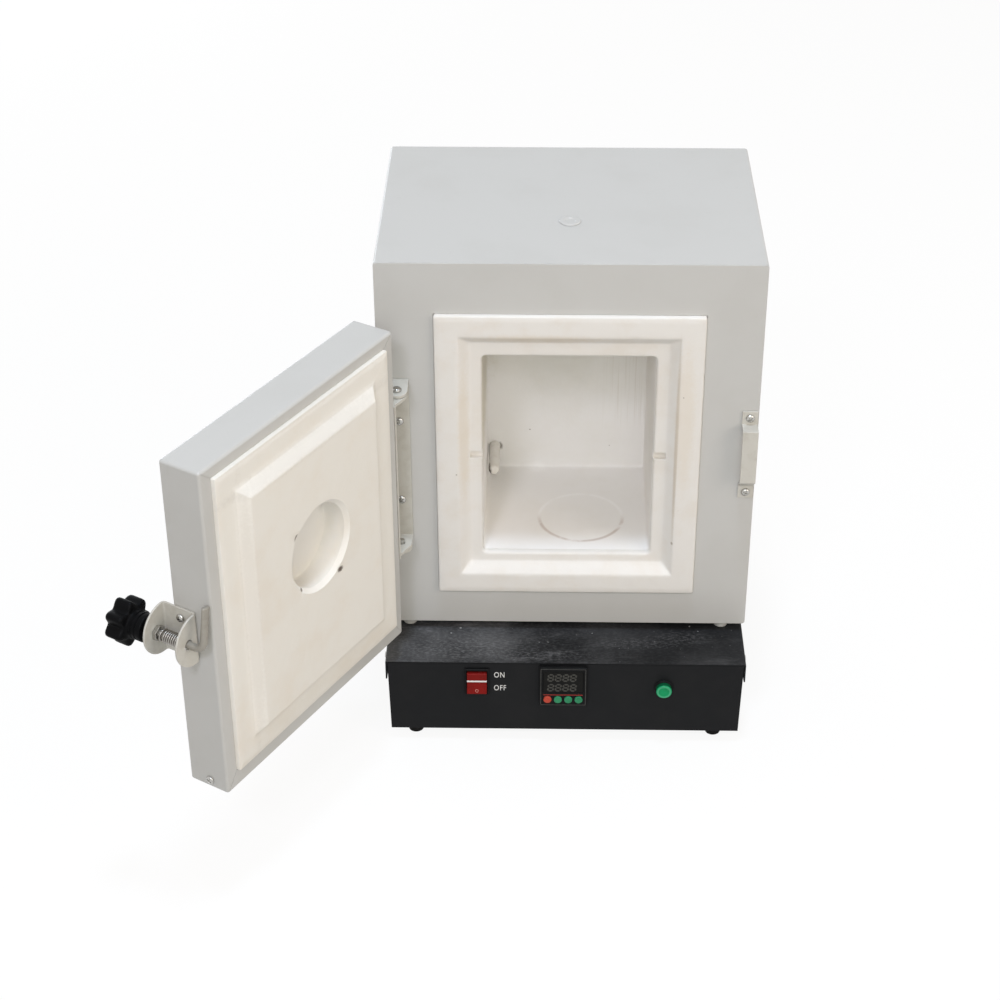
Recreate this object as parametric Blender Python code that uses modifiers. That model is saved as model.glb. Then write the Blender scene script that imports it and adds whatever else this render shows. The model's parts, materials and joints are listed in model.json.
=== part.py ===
# Bench muffle furnace: a fibre-lined chamber in a sheet casing with a side-hung door, on a control
# base.
# Metres, +Z up. The furnace faces -Y, and its front panel's face is y = 0 in the furnace empty's frame.

import math

import bmesh
import bpy
import numpy as np
from mathutils import Matrix, Vector

# Fits and sheet
GAP = 0.0003  # between pieces that touch
SLIP = 0.0004  # round a shaft or a shank, on the radius
SHEET = 0.0015
BEND = 0.003
SUNK = 0.001  # how far one joined shape reaches into the next

# Chamber and its fibre frame
CHAMBER_WIDTH = 0.166
CHAMBER_HEIGHT = 0.226
CHAMBER_DEPTH = 0.160  # from the frame's step to the back wall
CHAMBER_DROP = 0.0025  # chamber's middle below the frame's
STEP_WIDTH = 0.012
REBATE_DEPTH = 0.0095  # also how far the rebate's sloped sides draw in
FRAME_BAND = 0.023
FRAME_PROUD = 0.005
FRAME_THICKNESS = 0.030
FIBRE_EDGE = 0.0012  # broken edges of the frame and of the door's pad
NOTCH_HEIGHT = 0.008
NOTCH_DEPTH = 0.005
BACK_WALL = 0.094
MARGIN_ABOVE = 0.053  # casing above the frame
MARGIN_BELOW = 0.0405

# Heating wire in the side walls, and the sensor through the back wall
HEATER_DEPTH_IN_WALL = 0.010
HEATER_SLOT = 0.006
HEATER_WIRE = 0.0016
HEATER_PITCH = 0.016
HEATER_MARGIN = 0.014
SENSOR_RADIUS = 0.0055
SENSOR_REACH = 0.050
SENSOR_FROM_WALL = 0.008
SENSOR_ABOVE_FLOOR = 0.026
SENSOR_CAP_RADIUS = 0.011
SENSOR_CAP_DEPTH = 0.012

# Vent plug on the casing's top
VENT_RADIUS = 0.0105
VENT_STEM_RADIUS = 0.008
VENT_STEM = 0.008
VENT_CAP = 0.0012
VENT_DISH = 0.0008
VENT_DISH_RADIUS = 0.0055
VENT_BACK = 0.089  # from the front panel's face

# Door
DOOR_OPEN = math.radians(120.4)
DOOR_DEPTH = 0.043
DOOR_DROP = 0.0025  # pad's middle below the frame's
DOOR_BEND = 0.003
RIM_SIDE = 0.014
RIM_TOP = 0.012
RIM_BOTTOM = 0.0185
PAD_INSET = 0.0012  # pad's edge inside the frame's
PAD_PROUD = 0.004
SEAL_GAP = 0.0008
PLUG_HEIGHT = 0.009
PLUG_CLEARANCE = 0.003
RECESS_RADIUS = 0.0405
RECESS_DEPTH = 0.026
RECESS_CHAMFER = 0.004
RECESS_RISE = 0.0178  # recess above the pad's middle
EDGE_SCREW_RISE = 0.009  # above the tray's lower edge
EDGE_SCREW_BACK = 0.0195  # behind the tray's lip

# Hinge
HINGE_STANDOFF = 0.0225  # pin from the front panel's face
HINGE_OFFSET = 0.0218  # pin from the door tray's edge
HINGE_HEIGHT = 0.180
HINGE_SHEET = 0.003
HINGE_PLATE_WIDTH = 0.020
HINGE_EAR_RADIUS = 0.010
HINGE_LEAF_WIDTH = 0.024
HINGE_LEAF_SHEET = 0.0022
HINGE_CLEARANCE = 0.0006  # between the two brackets' ears
PIN_RADIUS = 0.003
PIN_HEAD_RADIUS = 0.0048
PIN_HEAD = 0.003
PIN_EDGE = 0.0012
PIN_TAIL = 0.004
HINGE_SCREW_SPACING = 0.090

# Pan-head screws
SCREW_RADIUS = 0.0019
SCREW_HEAD_RADIUS = 0.0042
SCREW_HEAD = 0.0024
SCREW_CROWN_RADIUS = 0.0025
SCREW_SIDE = 0.001
SCREW_LENGTH = 0.007

# Latch on the door's free edge
LATCH_OFFSET = 0.014  # rod from the tray's edge
LATCH_DROP = 0.0035  # rod below the pad's middle
BRACKET_SPAN = 0.0372
BRACKET_SHEET = 0.002
BRACKET_HEIGHT = 0.0505
BRACKET_REACH = 0.030
BRACKET_BACK = 0.0165  # behind the tray's lip
BRACKET_HOLE = 0.0046
BRACKET_SCREW_SPACING = 0.030
ROD_RADIUS = 0.0035
HOOK_LENGTH = 0.042
HOOK_BEND = 0.009
HOOK_LEAN = math.radians(11)
PUSH_TRAVEL = 0.006
NUT_RADIUS = 0.0075
NUT_DEPTH = 0.004
KNOB_RADIUS = 0.022
KNOB_SCALLOP = 0.0052
KNOB_LOBES = 7
POINTS_A_LOBE = 8
KNOB_HEAD = 0.018
KNOB_EDGE = 0.0017
KNOB_NECK_RADIUS = 0.013
KNOB_NECK = 0.015
KNOB_CLEARANCE = 0.001  # left when the knob is pushed in
KNOB_GRIP = 0.020  # rod inside the knob
SPRING_WIRE = 0.0007
SPRING_RADIUS = 0.0050
SPRING_TURNS = 9
POINTS_A_TURN = 9

# Keeper strap
KEEPER_NEAR = 0.0118  # rod to the strap's near edge
KEEPER_WIDTH = 0.015
KEEPER_EDGE = 0.001  # strap to the casing's side
KEEPER_SHEET = 0.0018
KEEPER_ABOVE = 0.047  # raised part above the rod
KEEPER_BELOW = 0.011
KEEPER_SLANT = 0.012
KEEPER_FLANGE = 0.014
HOOK_CLEARANCE = 0.001  # rod to strap and to panel

# Control base
BASE_INSET = 0.002  # narrower than the casing, each side
BASE_REACH = 0.0575  # in front of the casing
BASE_BEHIND = 0.002
BASE_HEIGHT = 0.085
BASE_DRAFT = 0.002
COVER_FLANGE = 0.022
COVER_SLACK = 0.0005
BASE_FOOT_HEIGHT = 0.014
BASE_FOOT_RADIUS = 0.009
BASE_FOOT_TAPER = 0.0013
BASE_FOOT_INSET = 0.026
BASE_FOOT_BACK = 0.018
STANDOFF_HEIGHT = 0.008
STANDOFF_RADIUS = 0.007
STANDOFF_INSET = 0.0235
STANDOFF_BACK = 0.011

# Controls, left to right, on a line below the base's upper edge
CONTROL_DROP = 0.0265
ROCKER_LEFT = 0.0885  # left of the middle
ROCKER_RISE = 0.0028  # above the line of the other controls
ROCKER_BEZEL_WIDTH = 0.0255
ROCKER_BEZEL_HEIGHT = 0.0325
ROCKER_BEZEL = 0.002
ROCKER_BEZEL_EDGE = 0.0007
ROCKER_WALL = 0.0023
ROCKER_BACK = 0.020
ROCKER_SIDE_GAP = 0.0005
ROCKER_END_GAP = 0.0021
ROCKER_SWING = math.radians(7)
ROCKER_PROUD = 0.004
ROCKER_VALLEY = 0.002
ROCKER_PIVOT = 0.002  # behind the bezel's face
ROCKER_ROOT = 40  # degrees of its round back that the stem leaves at each end
CONTROLLER_LEFT = 0.002
CONTROLLER_SIDE = 0.048
CONTROLLER_BEZEL = 0.005
CONTROLLER_EDGE = 0.0008
CONTROLLER_CASE_SIDE = 0.0445
CONTROLLER_BACK = 0.060
WINDOW_WIDTH = 0.040
WINDOW_HEIGHT = 0.025
WINDOW_DEPTH = 0.0014
WINDOW_RISE = 0.006
BUTTON_COUNT = 4
BUTTON_RADIUS = 0.0040
BUTTON_SPACING = 0.0104
BUTTON_DROP = 0.0155
BUTTON_PROUD = 0.0012
BUTTON_EDGE = 0.0004
BUTTON_TRAVEL = 0.0008
BUTTON_STEM = 0.0016
LAMP_RIGHT = 0.099
LAMP_DROP = 0.0035  # below the line of the other controls
LAMP_RIM_RADIUS = 0.0098
LAMP_RIM = 0.0016
LAMP_RIM_EDGE = 0.0006
LAMP_BODY_RADIUS = 0.0078
LAMP_BODY = 0.030
LENS_RADIUS = 0.0080
LENS_PROUD = 0.0052
LENS_EDGE = 0.0012

# Mains inlet and the parts inside the base
INLET_LEFT = 0.100
INLET_WIDTH = 0.027
INLET_HEIGHT = 0.020
INLET_BACK = 0.018
INLET_FLANGE_WIDTH = 0.050
INLET_FLANGE_HEIGHT = 0.0235
INLET_FLANGE = 0.002
INLET_WALL = 0.002
INLET_FLOOR = 0.003
HEATSINK_WIDTH = 0.080
HEATSINK_DEPTH = 0.100
HEATSINK_PLATE = 0.005
HEATSINK_FIN = 0.002
HEATSINK_FIN_HEIGHT = 0.018
HEATSINK_FINS = 6
HEATSINK_RIGHT = 0.090
HEATSINK_FROM_BACK = 0.030
RELAY_WIDTH = 0.045
RELAY_DEPTH = 0.058
RELAY_HEIGHT = 0.024
RELAY_EDGE = 0.001
TERMINAL_WIDTH = 0.060
TERMINAL_DEPTH = 0.022
TERMINAL_HEIGHT = 0.020
TERMINAL_FROM_BACK = 0.075

# Base colour, roughness and metallic value of each finish
FINISHES = {
    "grey_paint": ((0.63, 0.64, 0.65), 0.45, 0.0),
    "bracket_paint": ((0.56, 0.56, 0.51), 0.4, 0.2),
    "black_paint": ((0.016, 0.017, 0.019), 0.5, 0.0),
    "white_fibre": ((0.74, 0.70, 0.66), 0.95, 0.0),
    "cream_fibre": ((0.75, 0.69, 0.60), 0.95, 0.0),
    "sensor_ceramic": ((0.62, 0.60, 0.52), 0.8, 0.0),
    "heating_wire": ((0.20, 0.18, 0.17), 0.5, 1.0),
    "black_plastic": ((0.010, 0.011, 0.012), 0.4, 0.0),
    "red_plastic": ((0.30, 0.012, 0.008), 0.25, 0.0),
    "button_red": ((0.60, 0.10, 0.06), 0.4, 0.0),
    "button_green": ((0.09, 0.38, 0.20), 0.4, 0.0),
    "display_window": ((0.012, 0.012, 0.011), 0.15, 0.0),
    "green_lens": ((0.014, 0.33, 0.12), 0.15, 0.0),
    "grey_rubber": ((0.40, 0.40, 0.40), 0.8, 0.0),
    "black_rubber": ((0.012, 0.012, 0.012), 0.85, 0.0),
    "bright_steel": ((0.62, 0.61, 0.58), 0.28, 1.0),
    "hook_steel": ((0.32, 0.30, 0.27), 0.5, 0.6),
    "aluminium": ((0.72, 0.72, 0.73), 0.35, 1.0),
    "relay_plastic": ((0.55, 0.55, 0.52), 0.5, 0.0),
}

# Frame, casing and door sizes that follow
rebate_width = CHAMBER_WIDTH + 2 * (STEP_WIDTH + REBATE_DEPTH)
rebate_height = CHAMBER_HEIGHT + 2 * (STEP_WIDTH + REBATE_DEPTH)
frame_width = rebate_width + 2 * FRAME_BAND
frame_height = rebate_height + 2 * FRAME_BAND
pad_width = frame_width - 2 * PAD_INSET
pad_height = frame_height - 2 * PAD_INSET
door_width = pad_width + 2 * RIM_SIDE

base_top = BASE_FOOT_HEIGHT + BASE_HEIGHT
casing_bottom = base_top + STANDOFF_HEIGHT
casing_height = MARGIN_BELOW + frame_height + MARGIN_ABOVE
casing_top = casing_bottom + casing_height
frame_z = casing_bottom + MARGIN_BELOW + frame_height / 2
chamber_floor_z = frame_z - CHAMBER_DROP - CHAMBER_HEIGHT / 2
chamber_roof_z = chamber_floor_z + CHAMBER_HEIGHT
pad_z = frame_z - DOOR_DROP
door_bottom = pad_z - pad_height / 2 - RIM_BOTTOM
door_top = pad_z + pad_height / 2 + RIM_TOP

step_y = REBATE_DEPTH - FRAME_PROUD
boards_y = FRAME_THICKNESS - FRAME_PROUD + GAP
chamber_back_y = step_y + CHAMBER_DEPTH
casing_depth = chamber_back_y + BACK_WALL + GAP + SHEET

hinge_x = -door_width / 2 - HINGE_OFFSET
rod_x = door_width / 2 + LATCH_OFFSET
keeper_x = rod_x + KEEPER_NEAR + KEEPER_WIDTH / 2
casing_width = 2 * (keeper_x + KEEPER_WIDTH / 2 + KEEPER_EDGE)
inside_x = casing_width / 2 - SHEET - GAP
rod_z = pad_z - LATCH_DROP

# In the door empty's frame: x from the hinge pin, y towards the chamber when shut
lip_y = HINGE_STANDOFF - FRAME_PROUD - SEAL_GAP - PAD_PROUD
door_face_y = lip_y - DOOR_DEPTH
near_x = HINGE_OFFSET
far_x = HINGE_OFFSET + door_width
door_x = HINGE_OFFSET + door_width / 2
inner_ear_y = lip_y - BRACKET_BACK
outer_ear_y = inner_ear_y - BRACKET_SPAN
keeper_height = 2 * (ROD_RADIUS + HOOK_CLEARANCE) + PUSH_TRAVEL + KEEPER_SHEET
hook_y = HINGE_STANDOFF - keeper_height + KEEPER_SHEET + HOOK_CLEARANCE + ROD_RADIUS

base_width = casing_width - 2 * BASE_INSET
base_front = -BASE_REACH
base_back = casing_depth + BASE_BEHIND
tray_width = base_width - 2 * (SHEET + COVER_SLACK)
control_z = base_top - CONTROL_DROP


def clear_scene():
    for obj in list(bpy.data.objects):
        bpy.data.objects.remove(obj)


def new_collection(name):
    collection = bpy.data.collections.new(name)
    bpy.context.scene.collection.children.link(collection)
    return collection


def material(finish):
    found = bpy.data.materials.get(finish)
    if found:
        return found
    colour, roughness, metallic = FINISHES[finish]
    made = bpy.data.materials.new(finish)
    made.use_nodes = True
    shader = made.node_tree.nodes["Principled BSDF"]
    shader.inputs["Base Color"].default_value = (*colour, 1)
    shader.inputs["Roughness"].default_value = roughness
    shader.inputs["Metallic"].default_value = metallic
    made.diffuse_color = (*colour, 1)
    return made


def empty(name, location, parent=None, turn=0.0):
    obj = bpy.data.objects.new(name, None)
    obj.location = location
    obj.rotation_euler = (0, 0, turn)
    obj.parent = parent
    parts.objects.link(obj)
    return obj


def add(name, mesh, parent, location, finish):
    """A part where it has a finish, and otherwise a cutter or a shape to be joined to a part."""
    obj = bpy.data.objects.new(name, mesh)
    obj.parent = parent
    obj.location = location
    if finish:
        parts.objects.link(obj)
        mesh.materials.append(material(finish))
    else:
        cutters.objects.link(obj)
        obj.hide_render = True
        obj.display_type = "WIRE"
    return obj


def shade_round(mesh):
    mesh.shade_smooth()
    mesh.set_sharp_from_angle(angle=math.radians(35))


def box(name, low, high, parent, finish=None, narrow=None):
    """A box between two corners. narrow is (axis, side, (x, y, z) inset) of an end that draws in."""
    low, high = Vector(low), Vector(high)
    shape = bmesh.new()
    bmesh.ops.create_cube(shape, size=1, matrix=Matrix.Diagonal((*(high - low), 1)))
    if narrow:
        axis, side, inset = narrow
        for corner in shape.verts:
            if corner.co[axis] * side > 0:
                corner.co -= Vector(math.copysign(i, c) for i, c in zip(inset, corner.co))
    mesh = bpy.data.meshes.new(name)
    shape.to_mesh(mesh)
    shape.free()
    return add(name, mesh, parent, (low + high) / 2, finish)


def cylinder(name, radius, start, end, parent, finish=None, sides=20):
    start, end = Vector(start), Vector(end)
    run = end - start
    turn = run.to_track_quat("Z", "Y").to_matrix().to_4x4()
    shape = bmesh.new()
    bmesh.ops.create_cone(
        shape,
        cap_ends=True,
        segments=sides,
        radius1=radius,
        radius2=radius,
        depth=run.length,
        matrix=turn,
    )
    mesh = bpy.data.meshes.new(name)
    shape.to_mesh(mesh)
    shape.free()
    shade_round(mesh)
    return add(name, mesh, parent, (start + end) / 2, finish)


def turned(name, profile, location, facing, parent, finish, steps=16):
    """A profile of (radius, height), top to bottom, turned about an axis along facing."""
    mesh = bpy.data.meshes.new(name)
    mesh.from_pydata([(r, 0, z) for r, z in profile], [(i, i + 1) for i in range(len(profile) - 1)], [])
    obj = add(name, mesh, parent, location, finish)
    obj.rotation_mode = "QUATERNION"
    obj.rotation_quaternion = Vector(facing).to_track_quat("Z", "Y")
    screw = obj.modifiers.new("Turn", "SCREW")
    screw.steps = steps
    screw.render_steps = steps
    screw.use_merge_vertices = True
    screw.merge_threshold = 0.00001
    screw.use_smooth_shade = True
    return obj


def mesh_of_curve(curve):
    """The solid of a curve as a mesh, its caps welded to its sides."""
    carrier = bpy.data.objects.new(curve.name, curve)
    bpy.context.scene.collection.objects.link(carrier)
    graph = bpy.context.evaluated_depsgraph_get()
    mesh = bpy.data.meshes.new_from_object(carrier.evaluated_get(graph))
    bpy.data.objects.remove(carrier)
    shape = bmesh.new()
    shape.from_mesh(mesh)
    bmesh.ops.remove_doubles(shape, verts=shape.verts, dist=0.00001)
    bmesh.ops.recalc_face_normals(shape, faces=shape.faces)
    shape.to_mesh(mesh)
    shape.free()
    return mesh


def poly_curve(name, points, dimensions, cyclic):
    curve = bpy.data.curves.new(name, "CURVE")
    curve.dimensions = dimensions
    spline = curve.splines.new("POLY")
    spline.points.add(len(points) - 1)
    for point, place in zip(spline.points, points):
        point.co = (*place, *([0] * (3 - len(place))), 1)
    spline.use_cyclic_u = cyclic
    return curve


# An outline's (u, v) lies in XY, XZ or YZ, by the axis that its plate faces
PLATE_TURNS = {
    "Z": Matrix.Identity(4),
    "Y": Matrix.Rotation(math.radians(90), 4, "X"),
    "X": Matrix(((0, 0, 1, 0), (1, 0, 0, 0), (0, 1, 0, 0), (0, 0, 0, 1))),
}


def plate(name, outline, thickness, facing, middle, parent, finish=None):
    curve = poly_curve(name, outline, "2D", True)
    curve.fill_mode = "BOTH"
    curve.extrude = thickness / 2
    mesh = mesh_of_curve(curve)
    mesh.transform(PLATE_TURNS[facing])
    shade_round(mesh)
    return add(name, mesh, parent, middle, finish)


def tube(name, points, radius, resolution, location, parent, finish):
    curve = poly_curve(name, points, "3D", False)
    curve.bevel_depth = radius
    curve.bevel_resolution = resolution
    curve.use_fill_caps = True
    mesh = mesh_of_curve(curve)
    shade_round(mesh)
    return add(name, mesh, parent, location, finish)


def arc(centre, radius, start, end, steps):
    """Points of an arc, with its angles in degrees."""
    angles = [math.radians(start + (end - start) * i / steps) for i in range(steps + 1)]
    return [(centre[0] + radius * math.cos(a), centre[1] + radius * math.sin(a)) for a in angles]


def rounded_rectangle(width, height, radius, steps=3):
    x, y = width / 2 - radius, height / 2 - radius
    corners = ((x, y, 0), (-x, y, 90), (-x, -y, 180), (x, -y, 270))
    return [p for cx, cy, start in corners for p in arc((cx, cy), radius, start, start + 90, steps)]


def round_ended(reach, half_width):
    """A tab from v = 0 to a round end at v = reach, centred on u = 0."""
    return [(half_width, 0), *arc((0, reach - half_width), half_width, 0, 180, 10), (-half_width, 0)]


def boolean(target, other, operation):
    made = target.modifiers.new(other.name, "BOOLEAN")
    made.operation = operation
    made.solver = "EXACT"
    made.object = other


def cut(target, cutter):
    boolean(target, cutter, "DIFFERENCE")


def join(target, other):
    boolean(target, other, "UNION")


def drill(targets, radius, start, end, sides=16):
    hole = cylinder(f"{targets[0].name}_hole", radius, start, end, targets[0].parent, sides=sides)
    for target in targets:
        cut(target, hole)


def soften(obj, width, segments=2):
    bevel = obj.modifiers.new("Bevel", "BEVEL")
    bevel.width = width
    bevel.segments = segments
    bevel.limit_method = "ANGLE"


def pan_head_screw(name, seat, facing, parent, holds, finish="bright_steel"):
    """A screw whose head's underside is at its seat, through clearance holes in what it holds."""
    profile = [
        (0, SCREW_HEAD),
        (SCREW_CROWN_RADIUS, SCREW_HEAD),
        (SCREW_HEAD_RADIUS, SCREW_SIDE),
        (SCREW_HEAD_RADIUS, 0),
        (SCREW_RADIUS, 0),
        (SCREW_RADIUS, -SCREW_LENGTH),
        (0, -SCREW_LENGTH),
    ]
    facing = Vector(facing)
    head = Vector(seat) + facing * GAP
    screw = turned(name, profile, head, facing, parent, finish, steps=12)
    tip = Vector(seat) - facing * (SCREW_LENGTH + GAP)
    drill(holds, SCREW_RADIUS + SLIP, Vector(seat) + facing * SUNK, tip, sides=12)
    return screw


def build_base():
    tray = box(
        "base_tray",
        (-tray_width / 2, base_front, BASE_FOOT_HEIGHT),
        (tray_width / 2, base_back, base_top - SHEET - GAP),
        furnace,
        "black_paint",
        narrow=(2, -1, (BASE_DRAFT, 0, 0)),
    )
    inside = box(
        "base_tray_inside",
        (-tray_width / 2 + SHEET, base_front + SHEET, BASE_FOOT_HEIGHT + SHEET),
        (tray_width / 2 - SHEET, base_back - SHEET, base_top),
        furnace,
        narrow=(2, -1, (BASE_DRAFT, 0, 0)),
    )
    cut(tray, inside)

    half, drop = base_width / 2, COVER_FLANGE
    section = [
        (-half, -drop),
        (-half + SHEET, -drop),
        (-half + SHEET, -SHEET),
        (half - SHEET, -SHEET),
        (half - SHEET, -drop),
        (half, -drop),
        *arc((half - SHEET, -SHEET), SHEET, 0, 90, 2),
        *arc((-half + SHEET, -SHEET), SHEET, 90, 180, 2),
    ]
    middle = (0, (base_front + base_back) / 2, base_top)
    plate("base_cover", section, base_back - base_front, "Y", middle, furnace, "black_paint")

    foot = [
        (0, BASE_FOOT_HEIGHT - GAP),
        (BASE_FOOT_RADIUS, BASE_FOOT_HEIGHT - GAP),
        (BASE_FOOT_RADIUS - BASE_FOOT_TAPER, 0),
        (0, 0),
    ]
    foot_x = tray_width / 2 - BASE_FOOT_INSET
    for row, y in (("front", base_front + BASE_FOOT_BACK), ("rear", base_back - BASE_FOOT_BACK)):
        for side, x in (("left", -foot_x), ("right", foot_x)):
            turned(f"base_foot_{row}_{side}", foot, (x, y, 0), (0, 0, 1), furnace, "black_rubber")
    return tray


def build_rocker(tray):
    x, face, z = -ROCKER_LEFT, base_front - GAP, control_z + ROCKER_RISE
    body_width = ROCKER_BEZEL_WIDTH - ROCKER_WALL
    body_height = ROCKER_BEZEL_HEIGHT - ROCKER_WALL
    well_width = body_width - ROCKER_WALL
    well_height = body_height - ROCKER_WALL
    bezel_face = face - ROCKER_BEZEL

    housing = box(
        "rocker_housing",
        (x - ROCKER_BEZEL_WIDTH / 2, bezel_face, z - ROCKER_BEZEL_HEIGHT / 2),
        (x + ROCKER_BEZEL_WIDTH / 2, face, z + ROCKER_BEZEL_HEIGHT / 2),
        furnace,
        "black_plastic",
    )
    soften(housing, ROCKER_BEZEL_EDGE, 1)
    body = box(
        "rocker_body",
        (x - body_width / 2, face - SUNK, z - body_height / 2),
        (x + body_width / 2, face + ROCKER_BACK, z + body_height / 2),
        furnace,
    )
    join(housing, body)
    opening = box(
        "rocker_opening",
        (x - body_width / 2 - SLIP, face - SUNK, z - body_height / 2 - SLIP),
        (x + body_width / 2 + SLIP, face + SUNK + SHEET, z + body_height / 2 + SLIP),
        furnace,
    )
    cut(tray, opening)

    pivot = empty("rocker_pivot", (x, bezel_face + ROCKER_PIVOT, z), furnace)
    pivot.rotation_euler = (-ROCKER_SWING, 0, 0)
    half = well_height / 2 - ROCKER_END_GAP
    proud = ROCKER_PIVOT + ROCKER_PROUD
    root = half * math.cos(math.radians(90 - ROCKER_ROOT))
    outline = [
        (-proud, half),
        (-proud + ROCKER_VALLEY, 0),
        (-proud, -half),
        *arc((0, 0), half, 270, 270 + ROCKER_ROOT, 2),
        *arc((0, 0), half, 90 - ROCKER_ROOT, 90, 2),
    ]
    well_depth = root + math.sin(ROCKER_SWING) * half + ROCKER_PIVOT + GAP
    well = box(
        "rocker_well",
        (x - well_width / 2, bezel_face - SUNK, z - well_height / 2),
        (x + well_width / 2, bezel_face + well_depth, z + well_height / 2),
        furnace,
    )
    cut(housing, well)
    cap_width = well_width - 2 * ROCKER_SIDE_GAP
    cap = plate("rocker", outline, cap_width, "X", (0, 0, 0), pivot, "red_plastic")
    soften(cap, ROCKER_SIDE_GAP, 1)


def build_controller(tray):
    x, face = -CONTROLLER_LEFT, base_front - GAP
    front = face - CONTROLLER_BEZEL
    case = box(
        "controller_case",
        (x - CONTROLLER_SIDE / 2, front, control_z - CONTROLLER_SIDE / 2),
        (x + CONTROLLER_SIDE / 2, face, control_z + CONTROLLER_SIDE / 2),
        furnace,
        "black_plastic",
    )
    soften(case, CONTROLLER_EDGE)
    half = CONTROLLER_CASE_SIDE / 2
    back = box(
        "controller_back",
        (x - half, face - SUNK, control_z - half),
        (x + half, face + CONTROLLER_BACK, control_z + half),
        furnace,
    )
    join(case, back)
    opening = box(
        "controller_opening",
        (x - half - SLIP, face - SUNK, control_z - half - SLIP),
        (x + half + SLIP, face + SUNK + SHEET, control_z + half + SLIP),
        furnace,
    )
    cut(tray, opening)

    window_z = control_z + WINDOW_RISE
    pocket = box(
        "controller_window_pocket",
        (x - WINDOW_WIDTH / 2 - GAP, front - SUNK, window_z - WINDOW_HEIGHT / 2 - GAP),
        (x + WINDOW_WIDTH / 2 + GAP, front + WINDOW_DEPTH, window_z + WINDOW_HEIGHT / 2 + GAP),
        furnace,
    )
    cut(case, pocket)
    box(
        "controller_window",
        (x - WINDOW_WIDTH / 2, front + GAP, window_z - WINDOW_HEIGHT / 2),
        (x + WINDOW_WIDTH / 2, front + WINDOW_DEPTH - GAP, window_z + WINDOW_HEIGHT / 2),
        furnace,
        "display_window",
    )

    button_z = control_z - BUTTON_DROP
    well = BUTTON_STEM + BUTTON_TRAVEL + GAP
    for i in range(BUTTON_COUNT):
        button_x = x + (i - (BUTTON_COUNT - 1) / 2) * BUTTON_SPACING
        drill(
            [case],
            BUTTON_RADIUS + SLIP,
            (button_x, front - SUNK, button_z),
            (button_x, front + well, button_z),
        )
        button = [
            (0, BUTTON_PROUD),
            (BUTTON_RADIUS - BUTTON_EDGE, BUTTON_PROUD),
            (BUTTON_RADIUS, BUTTON_PROUD - BUTTON_EDGE),
            (BUTTON_RADIUS, -BUTTON_STEM),
            (0, -BUTTON_STEM),
        ]
        finish = "button_green" if i else "button_red"
        name = f"controller_button_{i + 1}"
        turned(name, button, (button_x, front, button_z), (0, -1, 0), furnace, finish, steps=14)


def build_lamp(tray):
    x, face, z = LAMP_RIGHT, base_front - GAP, control_z - LAMP_DROP
    body = [
        (0, LAMP_RIM),
        (LAMP_RIM_RADIUS - LAMP_RIM_EDGE, LAMP_RIM),
        (LAMP_RIM_RADIUS, LAMP_RIM - LAMP_RIM_EDGE),
        (LAMP_RIM_RADIUS, 0),
        (LAMP_BODY_RADIUS, 0),
        (LAMP_BODY_RADIUS, -LAMP_BODY),
        (0, -LAMP_BODY),
    ]
    turned("lamp_body", body, (x, face, z), (0, -1, 0), furnace, "black_plastic", steps=20)
    lens = [
        (0, LENS_PROUD),
        (LENS_RADIUS - LENS_EDGE, LENS_PROUD),
        (LENS_RADIUS, LENS_PROUD - LENS_EDGE),
        (LENS_RADIUS, 0),
        (0, 0),
    ]
    seat = (x, face - LAMP_RIM - GAP, z)
    turned("lamp_lens", lens, seat, (0, -1, 0), furnace, "green_lens", steps=20)
    drill([tray], LAMP_BODY_RADIUS + SLIP, (x, face - SUNK, z), (x, face + SUNK + SHEET, z), sides=20)


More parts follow.
